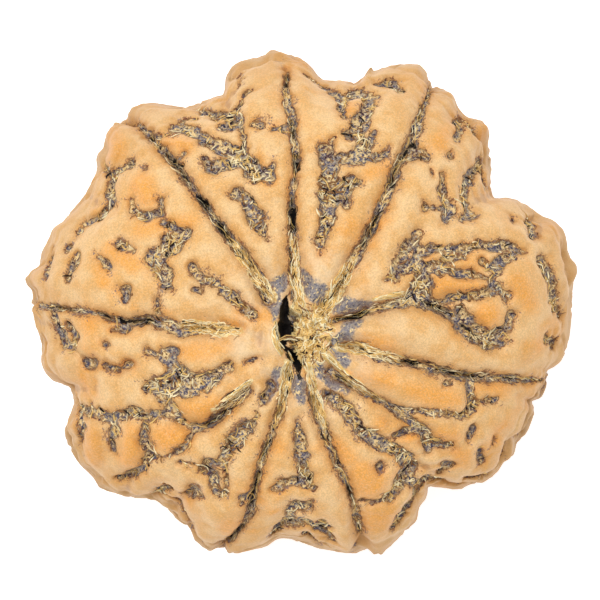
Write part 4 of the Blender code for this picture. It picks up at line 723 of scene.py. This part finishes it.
# Sums that make the edges ragged with the fine grain.
stoneSums = [
    ("fineMiddle", "SUBTRACT", "fine", 0.5), ("jag", "MULTIPLY", "fineMiddle", 0.45),
    ("halfJag", "MULTIPLY", "jag", 0.5), ("rim", "ADD", "edge", "jag"),
    ("creaseRim", "ADD", "crease", "jag"), ("collarRim", "ADD", "collar", "jag"),
    ("pithRim", "ADD", "pith", "jag"), ("gapRim", "ADD", "gap", "jag"),
    ("coreRim", "ADD", "core", "halfJag"), ("patchShare", "MULTIPLY", "patch", 0.9),
    ("warmPatch", "ADD", "warm", "patchShare"), ("stainMiddle", "SUBTRACT", "stainGrain", 0.5),
    ("stainJag", "MULTIPLY", "stainMiddle", 1.1), ("stainRim", "ADD", "edge", "stainJag"),
]
# Masks: the value they come from, its two limits, and what they turn into, which is 0 and 1 where not given.
widest = dome["centreHeight"] * mm
stoneMasks = {
    "isTan": ("patch", 0.35, 0.65), "isOrange": ("broad", 0.5, 0.85),
    "worn": ("warmPatch", 0.9, 0.1, 0.0, 0.75), "rosy": ("rosyGrain", 0.5, 0.68, 0.0, 0.35),
    "speck": ("speckGrain", 0.32, 0.68, 0.84, 1.1), "nearPole": ("fromPole", 2.0 * mm, 6.5 * mm, 0.38, 0.0),
    # On the next line the height mask paints shade on the flanks, darkest at the widest part and below it.
    "bloomPatch": ("bloomGrain", 0.4, 0.62), "low": ("height", widest, widest + 9.0 * mm, 0.68, 0.0),
    # Painted shade in a band just above the widest part.
    "rimShade": ("height", widest, widest + 3.0 * mm, 0.3, 0.0),
    # The crease mask on the next line paints shade into the creases.
    "creaseShade": ("creaseRim", -0.1, 0.1, 0.36, 0.0), "isMauve": ("floorPatch", 0.5, 0.56),
    "isCrumb": ("crumbGrain", 0.51, 0.57), "isAsh": ("floorGrain", 0.52, 0.62),
    # The first mask on the next line paints black specks as shadow in tiny pits.
    "floorPitShadow": ("floorGrain", 0.4, 0.34), "crust": ("crustGrain", 0.42, 0.56, 0.3, 1.0),
    "strawPatch": ("strawGrain", 0.49, 0.54), "filmAsh": ("floorGrain", 0.45, 0.65),
    "filmMauve": ("fine", 0.5, 0.62, 0.0, 0.35), "filmDarkSpeck": ("floorGrain", 0.42, 0.34, 0.0, 0.8),
    "filmStraw": ("filmGrain", 0.59, 0.63), "onCollar": ("collarRim", -0.12, 0.1, 0.95, 0.0),
    # The first mask on the next line paints shade on the skin next to the hollows.
    "hollowEdgeShade": ("rim", 0.0, 0.3, 0.12, 0.0), "stainReach": ("reachGrain", 0.4, 0.7, -0.2, 0.13),
    "stainSlate": ("fine", 0.52, 0.58), "lipCrumb": ("fine", 0.4, 0.55),
    "onLip": ("rim", -0.03, 0.0, 1.0, 0.0), "onFloor": ("rim", -0.08, -0.04, 1.0, 0.0),
    # The first mask on the next line paints the seams' cracks black as shadow.
    "crackShadow": ("coreRim", 0.04, 0.1, 0.9, 0.0), "isLight": ("pithGrain", 0.42, 0.58),
    # The first mask on the next line paints the pith's voids black as shadow.
    "pithVoidShadow": ("pithGrain", 0.34, 0.3), "onPith": ("pithRim", -0.05, 0.03, 1.0, 0.0),
    # The first mask on the next line paints the open gaps black as shadow.
    "gapShadow": ("gapRim", -0.02, 0.04, 1.0, 0.0), "inHollow": ("rim", -0.05, 0.1, 1.0, 0.0),
}
# Colours laid over each other: the result, its mask, the colour below and the colour on top.
stoneLayers = [
    # The skin: tan with orange patches, worn orange on the knobs, and speckled.
    ("skin", "isTan", "pale", "tan"), ("skin", "isOrange", "skin", "orange"),
    ("skin", "worn", "skin", "orange"), ("skin", "rosy", "skin", "rose"),
    ("skin", 1.0, "skin", "speck", "MULTIPLY"),
    # A pale bloom round the stem end, painted shade that darkens the flanks from the widest part down, a band
    # of painted shade just above the widest part, and painted shade in the creases.
    ("skin", "bloomed", "skin", "bloom"), ("skin", "low", "skin", "flankShade"),
    ("skin", "rimShade", "skin", "rimShadeBrown"), ("skin", "creaseShade", "skin", "edgeBrownAndShade"),
    # The hollows' floors. Crushed fibre crusts part of each floor and leaves the rest bare slate; the black
    # specks are painted shadow in tiny pits.
    ("floor", "isMauve", "slate", "mauve"), ("floor", "isCrumb", "floor", "crumb"),
    ("floor", "isAsh", "floor", "ash"), ("floor", "floorPitShadow", "floor", "shadowAndSpeckBlack"),
    ("floor", "onStraw", "floor", "straw"),
    # Velvety film on the collar round the stem end.
    ("film", "filmAsh", "velvet", "ash"), ("film", "filmMauve", "film", "mauve"),
    ("film", "filmDarkSpeck", "film", "shadowAndSpeckBlack"), ("film", "filmStraw", "film", "straw"),
    # The stain beside the hollows, the thin red-brown lip along them, which is partly painted shadow at the
    # lumps' edges, and the pale pith in the seams, whose voids are painted black as shadow.
    ("stainMix", "stainSlate", "stain", "slate"), ("lip", "lipCrumb", "edgeBrownAndShade", "crumb"),
    ("pulp", "isLight", "marrow", "marrowLight"), ("pulp", "pithVoidShadow", "pulp", "shadowAndSpeckBlack"),
    # All of these on the stone. The stain leaves the hollows in patches, as fine specks, never as an outline.
    # Painted shade darkens the skin next to the hollows, and the seams' cracks and the open gaps are painted
    # black as shadow.
    ("whole", "onCollar", "skin", "film"), ("whole", "hollowEdgeShade", "whole", "shade"),
    ("whole", "stained", "whole", "stainMix"), ("whole", "onLip", "whole", "lip"),
    ("whole", "onFloor", "whole", "floor"), ("whole", "crackShadow", "whole", "shadowAndSpeckBlack"),
    ("whole", "onPith", "whole", "pulp"), ("whole", "gapShadow", "whole", "shadowAndSpeckBlack"),
]


def seedStone():
    # Rudraksha stone: hard, dry and waxy on the lumps, which gives soft tan and orange patches without gloss.
    # Its hollows keep a slate film and dark crumbs of the fruit's flesh, and black specks of painted shadow.
    material, tree, shader = newMaterial("rudraksha_stone_waxy_with_slate_hollows")
    place = addNode(tree, "ShaderNodeTexCoord", output="Object")
    made = dict(stoneLook)
    for name in shownMasks:
        made[name] = addNode(tree, "ShaderNodeAttribute", output="Fac", attribute_name=name)
    for name, (grain, detail, roughness) in stoneGrains.items():
        links = {"Vector": place, "Scale": 1 / (grain * mm), "Detail": detail, "Roughness": roughness}
        made[name] = addNode(tree, "ShaderNodeTexNoise", links)
    pole = Vector((*dome["stemEnd"], dome["centreHeight"] + dome["halfHeight"])) * mm
    made["fromPole"] = addNode(tree, "ShaderNodeVectorMath", {0: place, 1: pole}, 1, operation="DISTANCE")
    made["height"] = addNode(tree, "ShaderNodeSeparateXYZ", {"Vector": place}, "Z")
    for name, operation, first, second in stoneSums:
        links = {0: made[first], 1: made.get(second, second)}
        made[name] = addNode(tree, "ShaderNodeMath", links, operation=operation)
    for name, (source, *limits) in stoneMasks.items():
        links = dict(enumerate([made[source], *limits]))
        made[name] = addNode(tree, "ShaderNodeMapRange", links, interpolation_type="SMOOTHSTEP")
    for name, first, second in (("bloomed", "nearPole", "bloomPatch"), ("onStraw", "strawPatch", "crust")):
        made[name] = addNode(tree, "ShaderNodeMath", {0: made[first], 1: made[second]}, operation="MULTIPLY")
    links = {0: made["stainRim"], 1: made["stainReach"]}
    stain = addNode(tree, "ShaderNodeMath", links, operation="SUBTRACT")
    links = {0: stain, 1: -0.06, 2: 0.05, 3: 0.7, 4: 0.0}
    made["stained"] = addNode(tree, "ShaderNodeMapRange", links, interpolation_type="SMOOTHSTEP")
    for name, mask, below, top, *way in stoneLayers:
        links = {0: made.get(mask, mask), 6: made[below], 7: made[top]}
        settings = {"data_type": "RGBA", "blend_type": way[0] if way else "MIX"}
        made[name] = addNode(tree, "ShaderNodeMix", links, 2, **settings)
    tree.links.new(made["whole"], shader.inputs["Base Color"])

    # Waxy lumps and matt hollows, both with a fine grain in the light.
    links = {0: made["inHollow"], 3: 0.52, 4: 0.85}
    roughness = addNode(tree, "ShaderNodeMapRange", links, interpolation_type="SMOOTHSTEP")
    tree.links.new(roughness, shader.inputs["Roughness"])
    waxGrain = addNode(tree, "ShaderNodeMath", {0: made["waxGrain"], 1: 0.12}, operation="MULTIPLY")
    links = {0: made["floorGrain"], 1: made["inHollow"]}
    hollowGrain = addNode(tree, "ShaderNodeMath", links, operation="MULTIPLY")
    grain = addNode(tree, "ShaderNodeMath", {0: waxGrain, 1: hollowGrain}, operation="ADD")
    links = {"Strength": 0.6, "Distance": 0.12 * mm, "Height": grain}
    tree.links.new(addNode(tree, "ShaderNodeBump", links), shader.inputs["Normal"])
    shader.inputs["Specular IOR Level"].default_value = 0.3
    return material


def makeSkin():
    print("carving the skin")
    shell = bmesh.new()
    bmesh.ops.create_icosphere(shell, subdivisions=skin["subdivisions"], radius=1.0)
    points = domePoints(np.array([vertex.co for vertex in shell.verts]))
    masks = surfaceMasks(points)
    points = fitted(points + inward(points) * sinkOf(points, masks)[:, None]) + np.array(dome["shift"])
    points[:, 2] = points[:, 2].clip(0)  # flat where it rests
    for vertex, point in zip(shell.verts, points):
        vertex.co = point * mm
    mesh = meshFrom(shell, "stone_skin")
    for name in shownMasks:
        values = mesh.attributes.new(name, "FLOAT", "POINT")
        values.data.foreach_set("value", masks[name].clip(*skin["maskRange"]).astype(np.float32))
    whole = placed("stone_skin_full", mesh)
    thin = whole.modifiers.new("fewer_faces", "DECIMATE")
    thin.ratio = skin["keptShare"]
    graph = bpy.context.evaluated_depsgraph_get()
    thinned = bpy.data.meshes.new_from_object(whole.evaluated_get(graph))
    bpy.data.objects.remove(whole)
    piece = placed("stone_skin", thinned)
    thinned.shade_smooth()
    thinned.materials.append(seedStone())
    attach(piece, "root")
    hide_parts("bead")
    print("skin has", len(thinned.polygons), "triangles")
    return piece


def surfaceFinder(piece):
    shell = bmesh.new()
    shell.from_mesh(piece.data)
    tree = BVHTree.FromBMesh(shell)
    shell.free()
    return tree


stoneSkin = makeSkin()
finder = surfaceFinder(stoneSkin)
skinEdge = np.zeros(len(stoneSkin.data.vertices), np.float32)
stoneSkin.data.attributes["edge"].data.foreach_get("value", skinEdge)
shiftVector = Vector(dome["shift"])

fibreLook = {"cream": "FFF0C4", "gold": "F0CB80", "brown": "9A7048", "dark": "2A1E1C"}
fibres = {
    "edge": -0.05,  # they stay inside the hollows' edges
    "freeBelt": 1.4,  # and off the widest part, where they have worn away
    "searchFrom": 2.5, "searchLength": 6,
    "clumpSize": 0.7, "clumpSeed": 9,  # they lie in loose clumps, cream in the thick of them, brown between
    "clumpMiddle": 0.45, "clumpContrast": 2.4, "strays": 0.05, "clumpPower": 1.5,
    "paleBetween": 0.3, "paleMore": 0.5,  # pale share between clumps, and what the thick adds
    "paleWeights": (0.62, 0.38), "darkWeights": (0.3, 0.45, 0.25),
    "tip": 0.45,
}
seamFibres = {
    "perMm": 9, "length": (0.25, 1.0), "steps": 5, "radius": 0.026, "seed": 21, "lift": (0.0, 0.1),
    "towardsStem": 1.5, "drift": 1.2, "swing": (0.05, 0.4), "spread": 0.85, "thickness": (0.5, 1.5),
}
hollowFibres = {
    "perMm2": 28, "length": (0.12, 0.62), "steps": 5, "radius": 0.03, "seed": 22, "lift": (0.02, 0.16),
    "frays": (0.0, 0.06, 0.16),  # how far strands may fray over the hollow's lip
    "curl": 0.2, "jitter": 0.25, "spread": 0.95, "thickness": (0.5, 1.6),
}


def inwardAt(point):
    return Vector(inward(np.array([point]))[0])


def onSkin(point, lift, beyond=0.0):  # the hollow floor under a point near the dome, lifted a little, in mm
    way = inwardAt(point)
    start = (point + shiftVector - way * fibres["searchFrom"]) * mm
    spot, _, face, _ = finder.ray_cast(start, way, fibres["searchLength"] * mm)
    if spot is None or skinEdge[stoneSkin.data.polygons[face].vertices[0]] > fibres["edge"] + beyond:
        return None
    if abs(spot.z / mm - dome["centreHeight"]) < fibres["freeBelt"]:
        return None
    return spot / mm - way * lift


def fibreMaterial(name, code):
    # Dried fruit fibre, matt: it reads pale against the slate, with a faint mottle along each strand.
    material, tree, shader = newMaterial(name)
    place = addNode(tree, "ShaderNodeTexCoord", output="Object")
    links = {"Vector": place, "Scale": 1 / (0.3 * mm), "Detail": 2.0, "Roughness": 0.6}
    grain = addNode(tree, "ShaderNodeTexNoise", links)
    links = {0: grain, 1: 0.3, 2: 0.7, 3: 0.8, 4: 1.1}
    shade = addNode(tree, "ShaderNodeMapRange", links, interpolation_type="SMOOTHSTEP")
    links = {0: 1.0, 6: code, 7: shade}
    tinted = addNode(tree, "ShaderNodeMix", links, 2, data_type="RGBA", blend_type="MULTIPLY")
    tree.links.new(tinted, shader.inputs["Base Color"])
    shader.inputs["Roughness"].default_value = 0.7
    shader.inputs["Specular IOR Level"].default_value = 0.25
    return material


fibreMaterials = [fibreMaterial(f"dried_fruit_fibre_{name}", code) for name, code in fibreLook.items()]


def fibresFrom(name, strands, radius):
    # strands are (points in millimetres, material number, thickness share)
    curve = bpy.data.curves.new(name, "CURVE")
    curve.dimensions = "3D"
    curve.bevel_depth = radius * mm
    curve.bevel_resolution = 0
    curve.use_fill_caps = True
    for material in fibreMaterials:
        curve.materials.append(material)
    for points, number, thickness in strands:
        spline = curve.splines.new("POLY")
        spline.points.add(len(points) - 1)
        for place, point in zip(spline.points, points):
            place.co = (*(point * mm), 1)
            place.radius = thickness
        spline.points[0].radius = spline.points[-1].radius = thickness * fibres["tip"]
        spline.material_index = number
    rope = placed(name + "_curve", curve)
    graph = bpy.context.evaluated_depsgraph_get()
    mesh = bpy.data.meshes.new_from_object(rope.evaluated_get(graph))
    bpy.data.objects.remove(rope)
    mesh.shade_smooth()
    piece = placed(name, mesh)
    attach(piece, "root")
    print(name, "has", len(strands), "strands and", len(mesh.polygons), "faces")
    return piece


def stretchOf(run):
    return [(a, b, (b[0] - a[0]).length) for a, b in zip(run, run[1:])]


def alongRun(run, travelled):  # place, direction and half width at a distance along a run
    for (start, wide), (end, narrow), length in stretchOf(run):
        if travelled <= length:
            share = travelled / max(length, 1e-6)
            return start.lerp(end, share), (end - start).normalized(), wide + share * (narrow - wide)
        travelled -= length
    return None


def clumping(place):  # 0 in the bare patches, 1 in the thick of a clump
    value = noise.noise(place / fibres["clumpSize"] + Vector((fibres["clumpSeed"], 0, 0)))
    return min(max(fibres["clumpMiddle"] + fibres["clumpContrast"] * value, 0.0), 1.0)


def fibreColour(share, chance):
    if chance.random() < fibres["paleBetween"] + fibres["paleMore"] * share:
        return chance.choices((0, 1), fibres["paleWeights"])[0]
    return chance.choices((1, 2, 3), fibres["darkWeights"])[0]


def seamStrands(runs, values, chance):
    strands = []
    for run in runs:
        total = sum(length for _, _, length in stretchOf(run))
        for _ in range(int(total * values["perMm"])):
            travelled = total * chance.random() ** values["towardsStem"]
            length = chance.uniform(*values["length"])
            side = chance.uniform(-1, 1)
            drift = chance.uniform(-values["drift"], values["drift"])
            phase, swing = chance.uniform(0, 6.3), chance.uniform(*values["swing"])
            lift = chance.uniform(*values["lift"])
            points = []
            for step in range(values["steps"]):
                share = step / (values["steps"] - 1)
                found = alongRun(run, travelled + share * length)
                if found is None:
                    break
                place, direction, width = found
                across = inwardAt(place).cross(direction).normalized()
                offset = side + drift * share + swing * math.sin(phase + 5 * share)
                spot = place + across * offset * width * values["spread"]
                point = onSkin(spot, lift * (0.4 + math.sin(math.pi * share)))
                if point is None:
                    break
                points.append(point)
            if len(points) >= 3:
                number = fibreColour(clumping(points[0]), chance)
                strands.append((points, number, chance.uniform(*values["thickness"])))
    return strands


def hollowStrands(runs, values, chance):
    strands = []
    for run in runs:
        first, wide = run[0]
        stub = ((first, wide), (first + Vector((0.01, 0, 0)), wide), 0.01)  # a round pit has one place only
        for (start, wide), (end, narrow), length in stretchOf(run) or [stub]:
            area = (length + wide) * (wide + narrow)
            for _ in range(int(area * values["perMm2"] + chance.random())):
                share = chance.uniform(-0.1, 1.1)
                place = start.lerp(end, share)
                down = inwardAt(place)
                along = (end - start).normalized()
                across = down.cross(along).normalized()
                width = wide + share * (narrow - wide)
                place = place + across * chance.uniform(-values["spread"], values["spread"]) * width
                if chance.random() > fibres["strays"] + clumping(place) ** fibres["clumpPower"]:
                    continue
                beyond = chance.choice(values["frays"])
                heading = chance.uniform(0, 2 * math.pi)
                curl = chance.uniform(-values["curl"], values["curl"])
                stride = chance.uniform(*values["length"]) / (values["steps"] - 1)
                lift = chance.uniform(*values["lift"])
                points = []
                for step in range(values["steps"]):
                    height = lift * math.sin(math.pi * (0.15 + 0.7 * step / (values["steps"] - 1)))
                    point = onSkin(place, height, beyond)
                    if point is None:
                        break
                    points.append(point)
                    place = place + (along * math.cos(heading) + across * math.sin(heading)) * stride
                    heading += curl + chance.uniform(-values["jitter"], values["jitter"])
                if len(points) >= 3:
                    number = fibreColour(clumping(points[0]), chance)
                    strands.append((points, number, chance.uniform(*values["thickness"])))
    return strands


def makeFibres():
    print("laying the fibres")
    chance = random.Random(seamFibres["seed"])
    for side, runs in (("upper", upperSeams), ("lower", underSeams)):
        fibresFrom("seam_fibres_" + side, seamStrands(runs, seamFibres, chance), seamFibres["radius"])
    chance = random.Random(hollowFibres["seed"])
    for side, runs in (("upper", upperHollows), ("lower", underHollows)):
        fibresFrom("hollow_fibres_" + side, hollowStrands(runs, hollowFibres, chance), hollowFibres["radius"])


makeFibres()

plug = {
    "middle": (0.74, -1.72), "size": (1.05, 1.6, 0.8), "sink": 0.1, "rimReach": 2.2, "subdivisions": 6,
    "lumps": 0.3, "lumpLength": 0.26, "fineLumps": 0.6, "finerBy": 2.7,
    "strands": 300, "reach": 0.9, "length": (0.15, 0.6), "radius": 0.032, "seed": 31, "lift": (0.0, 0.1),
    "curl": 0.25, "jitter": 0.35, "weights": (0.3, 0.5, 0.14, 0.06), "thickness": (0.5, 1.6),
}
# Loose strands that cross the dark gap beside the plug: plan places of each, in millimetres.
bridgeRoutes = [
    [(-1.2, -2.05), (-0.6, -1.85), (0.2, -1.95)],
    [(-1.3, -1.5), (-1.15, -1.0), (-0.95, -0.75)],
    [(-1.3, -1.75), (-1.05, -2.25), (-0.9, -2.5)],
    [(-0.75, -2.4), (-0.5, -2.75), (-0.35, -3.1)],
]
bundles = {
    "perMm": 30, "length": (0.3, 1.2), "lift": (0.0, 0.12), "seed": 32, "drift": 0.7, "swing": 0.25,
    "bridgePerMm": 9, "bridgeWidth": 0.1, "bridgeSink": 0.1,
    "weights": (0.42, 0.44, 0.1, 0.04), "thickness": (0.5, 1.5),
}
strandSteps = 5


def plugPulp():
    # Crushed fibre pulp, matt and pale straw, with dark voids where the strands part, painted as shadow.
    material, tree, shader = newMaterial("fruit_fibre_pulp_crushed")
    place = addNode(tree, "ShaderNodeTexCoord", output="Object")
    links = {"Vector": place, "Scale": 1 / (0.3 * mm), "Detail": 3.0, "Roughness": 0.65}
    grain = addNode(tree, "ShaderNodeTexNoise", links)
    colour = "D9B068"
    # The second colour paints shadow into the voids between strands.
    for low, high, top in ((0.4, 0.6, "F8E2A4"), (0.4, 0.34, "2A1C12")):
        links = {0: grain, 1: low, 2: high}
        mask = addNode(tree, "ShaderNodeMapRange", links, interpolation_type="SMOOTHSTEP")
        colour = addNode(tree, "ShaderNodeMix", {0: mask, 6: colour, 7: top}, 2, data_type="RGBA")
    tree.links.new(colour, shader.inputs["Base Color"])
    links = {"Strength": 0.8, "Distance": 0.15 * mm, "Height": grain}
    tree.links.new(addNode(tree, "ShaderNodeBump", links), shader.inputs["Normal"])
    shader.inputs["Roughness"].default_value = 0.8
    return material


def heightAt(finders, x, y):  # the highest surface over a plan place, in millimetres
    start = (Vector((x, y, 40)) + shiftVector) * mm
    hits = [each.ray_cast(start, Vector((0, 0, -1)), 1.0)[0] for each in finders]
    return max([hit.z for hit in hits if hit is not None] or [0.0]) / mm


def plugBody():
    x, y = plug["middle"]
    reach = plug["rimReach"]
    rim = [(x + reach * math.cos(turn), y + reach * math.sin(turn)) for turn in range(6)]
    top = sum(heightAt([finder], *spot) for spot in rim) / len(rim) - plug["sink"]
    shell = bmesh.new()
    bmesh.ops.create_icosphere(shell, subdivisions=plug["subdivisions"], radius=1.0)
    for vertex in shell.verts:
        place = vertex.co / plug["lumpLength"]
        lump = noise.noise(place) + plug["fineLumps"] * noise.noise(place * plug["finerBy"])
        vertex.co = vertex.co * (1 + plug["lumps"] * lump)
    bmesh.ops.scale(shell, verts=shell.verts, vec=plug["size"])
    bmesh.ops.translate(shell, verts=shell.verts, vec=Vector((x, y, top - plug["size"][2])) + shiftVector)
    bmesh.ops.scale(shell, verts=shell.verts, vec=(mm, mm, mm))
    mesh = meshFrom(shell, "stem_plug")
    mesh.shade_smooth()
    mesh.materials.append(plugPulp())
    piece = placed("stem_plug", mesh)
    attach(piece, "root")
    return piece


def shifted(spot, height):  # the frame's place of a plan spot at a height that finders gave
    return Vector((spot.x, spot.y, height)) + Vector((shiftVector.x, shiftVector.y, 0))


def plugStrands(finders):
    chance = random.Random(plug["seed"])
    (x, y), (wide, long, _) = plug["middle"], plug["size"]
    strands = []
    for _ in range(plug["strands"]):
        turn, out = chance.uniform(0, 2 * math.pi), plug["reach"] * math.sqrt(chance.random())
        spot = Vector((x + out * wide * math.cos(turn), y + out * long * math.sin(turn)))
        heading, curl = chance.uniform(0, 2 * math.pi), chance.uniform(-plug["curl"], plug["curl"])
        stride = chance.uniform(*plug["length"]) / strandSteps
        lift = chance.uniform(*plug["lift"])
        points = []
        for step in range(strandSteps + 1):
            height = heightAt(finders, spot.x, spot.y) + lift * math.sin(0.5 + step * 0.45)
            points.append(shifted(spot, height))
            spot = spot + Vector((math.cos(heading), math.sin(heading))) * stride
            heading += curl + chance.uniform(-plug["jitter"], plug["jitter"])
        number = chance.choices((0, 1, 2, 3), plug["weights"])[0]
        strands.append((points, number, chance.uniform(*plug["thickness"])))
    return strands


def bundleStrands(finders):  # strands along the pith, and a few that bridge the dark gap
    chance = random.Random(bundles["seed"])
    strands = []
    bridges = [[(x, y, bundles["bridgeWidth"]) for x, y in route] for route in bridgeRoutes]
    for route in pithLines + bridges:
        run = [(Vector((x, y, 0)), width) for x, y, width in route]
        ends = [heightAt(finders, route[place][0], route[place][1]) for place in (0, -1)]
        total = sum(length for _, _, length in stretchOf(run))
        for _ in range(int(total * bundles["bridgePerMm" if route in bridges else "perMm"])):
            travelled, length = chance.uniform(-0.2, total), chance.uniform(*bundles["length"])
            side, drift = chance.uniform(-1, 1), chance.uniform(-bundles["drift"], bundles["drift"])
            lift, phase = chance.uniform(*bundles["lift"]), chance.uniform(0, 6.3)
            points = []
            for step in range(strandSteps + 1):
                found = alongRun(run, max(travelled + step / strandSteps * length, 0.0))
                if found is None:
                    break
                place, direction, width = found
                offset = side + drift * step / strandSteps + bundles["swing"] * math.sin(phase + step)
                spot = place + Vector((-direction.y, direction.x, 0)) * offset * width
                height = heightAt(finders, spot.x, spot.y) + lift * (1 - 0.6 * abs(side))
                if route in bridges:
                    share = min((max(travelled, 0.0) + step / strandSteps * length) / total, 1.0)
                    height = ends[0] + share * (ends[1] - ends[0]) + lift - bundles["bridgeSink"]
                points.append(shifted(spot, height))
            if len(points) >= 3:
                number = chance.choices((0, 1, 2, 3), bundles["weights"])[0]
                strands.append((points, number, chance.uniform(*bundles["thickness"])))
    return strands


print("plugging the stem pit")
plugFinders = [finder, surfaceFinder(plugBody())]
fibresFrom("plug_fibres", plugStrands(plugFinders) + bundleStrands(plugFinders), plug["radius"])

studio = {
    "cameraHeight": 900, "frameWidth": 30.0, "sensor": 36.0, "clip": (0.05, 10), "floorSize": 1.5,
    "worldStrength": 0.475, "keyPower": 7.7, "keySize": 0.5, "keyPlace": (-0.12, 0.2, 1.05),
    "floorGlow": 0.68,
}


def makeStudio():
    print("setting the floor, lights and camera")
    scene = bpy.context.scene
    scene.view_settings.view_transform = "Standard"
    world = bpy.data.worlds.new("pale_studio")
    world.use_nodes = True
    world.node_tree.nodes["Background"].inputs["Color"].default_value = (1, 1, 1, 1)
    world.node_tree.nodes["Background"].inputs["Strength"].default_value = studio["worldStrength"]
    scene.world = world

    shell = bmesh.new()
    bmesh.ops.create_grid(shell, x_segments=1, y_segments=1, size=studio["floorSize"])
    mesh = meshFrom(shell, "studio_floor")
    floor = placed("studio_floor", mesh)
    # White card, matt and faintly bright, which gives the photo's blank ground with hardly a shadow.
    material, _, shader = newMaterial("pale_floor")
    shader.inputs["Base Color"].default_value = (0.9, 0.9, 0.9, 1)
    shader.inputs["Roughness"].default_value = 0.9
    shader.inputs["Emission Color"].default_value = (1, 1, 1, 1)
    shader.inputs["Emission Strength"].default_value = studio["floorGlow"]
    mesh.materials.append(material)

    lamp = bpy.data.lights.new("key_light", "AREA")
    lamp.shape = "DISK"
    lamp.size = studio["keySize"]
    lamp.energy = studio["keyPower"]
    light = placed("key_light", lamp)
    light.location = studio["keyPlace"]
    light.rotation_euler = Vector(studio["keyPlace"]).to_track_quat("Z", "Y").to_euler()

    lens = bpy.data.cameras.new("photo_camera")
    lens.sensor_width = studio["sensor"]
    distance = studio["cameraHeight"] - dome["centreHeight"]
    lens.lens = studio["sensor"] * distance / studio["frameWidth"]
    lens.clip_start, lens.clip_end = studio["clip"]
    camera = placed("photo_camera", lens)
    camera.location = (dome["shift"][0] * mm, dome["shift"][1] * mm, studio["cameraHeight"] * mm)
    scene.camera = camera


makeStudio()
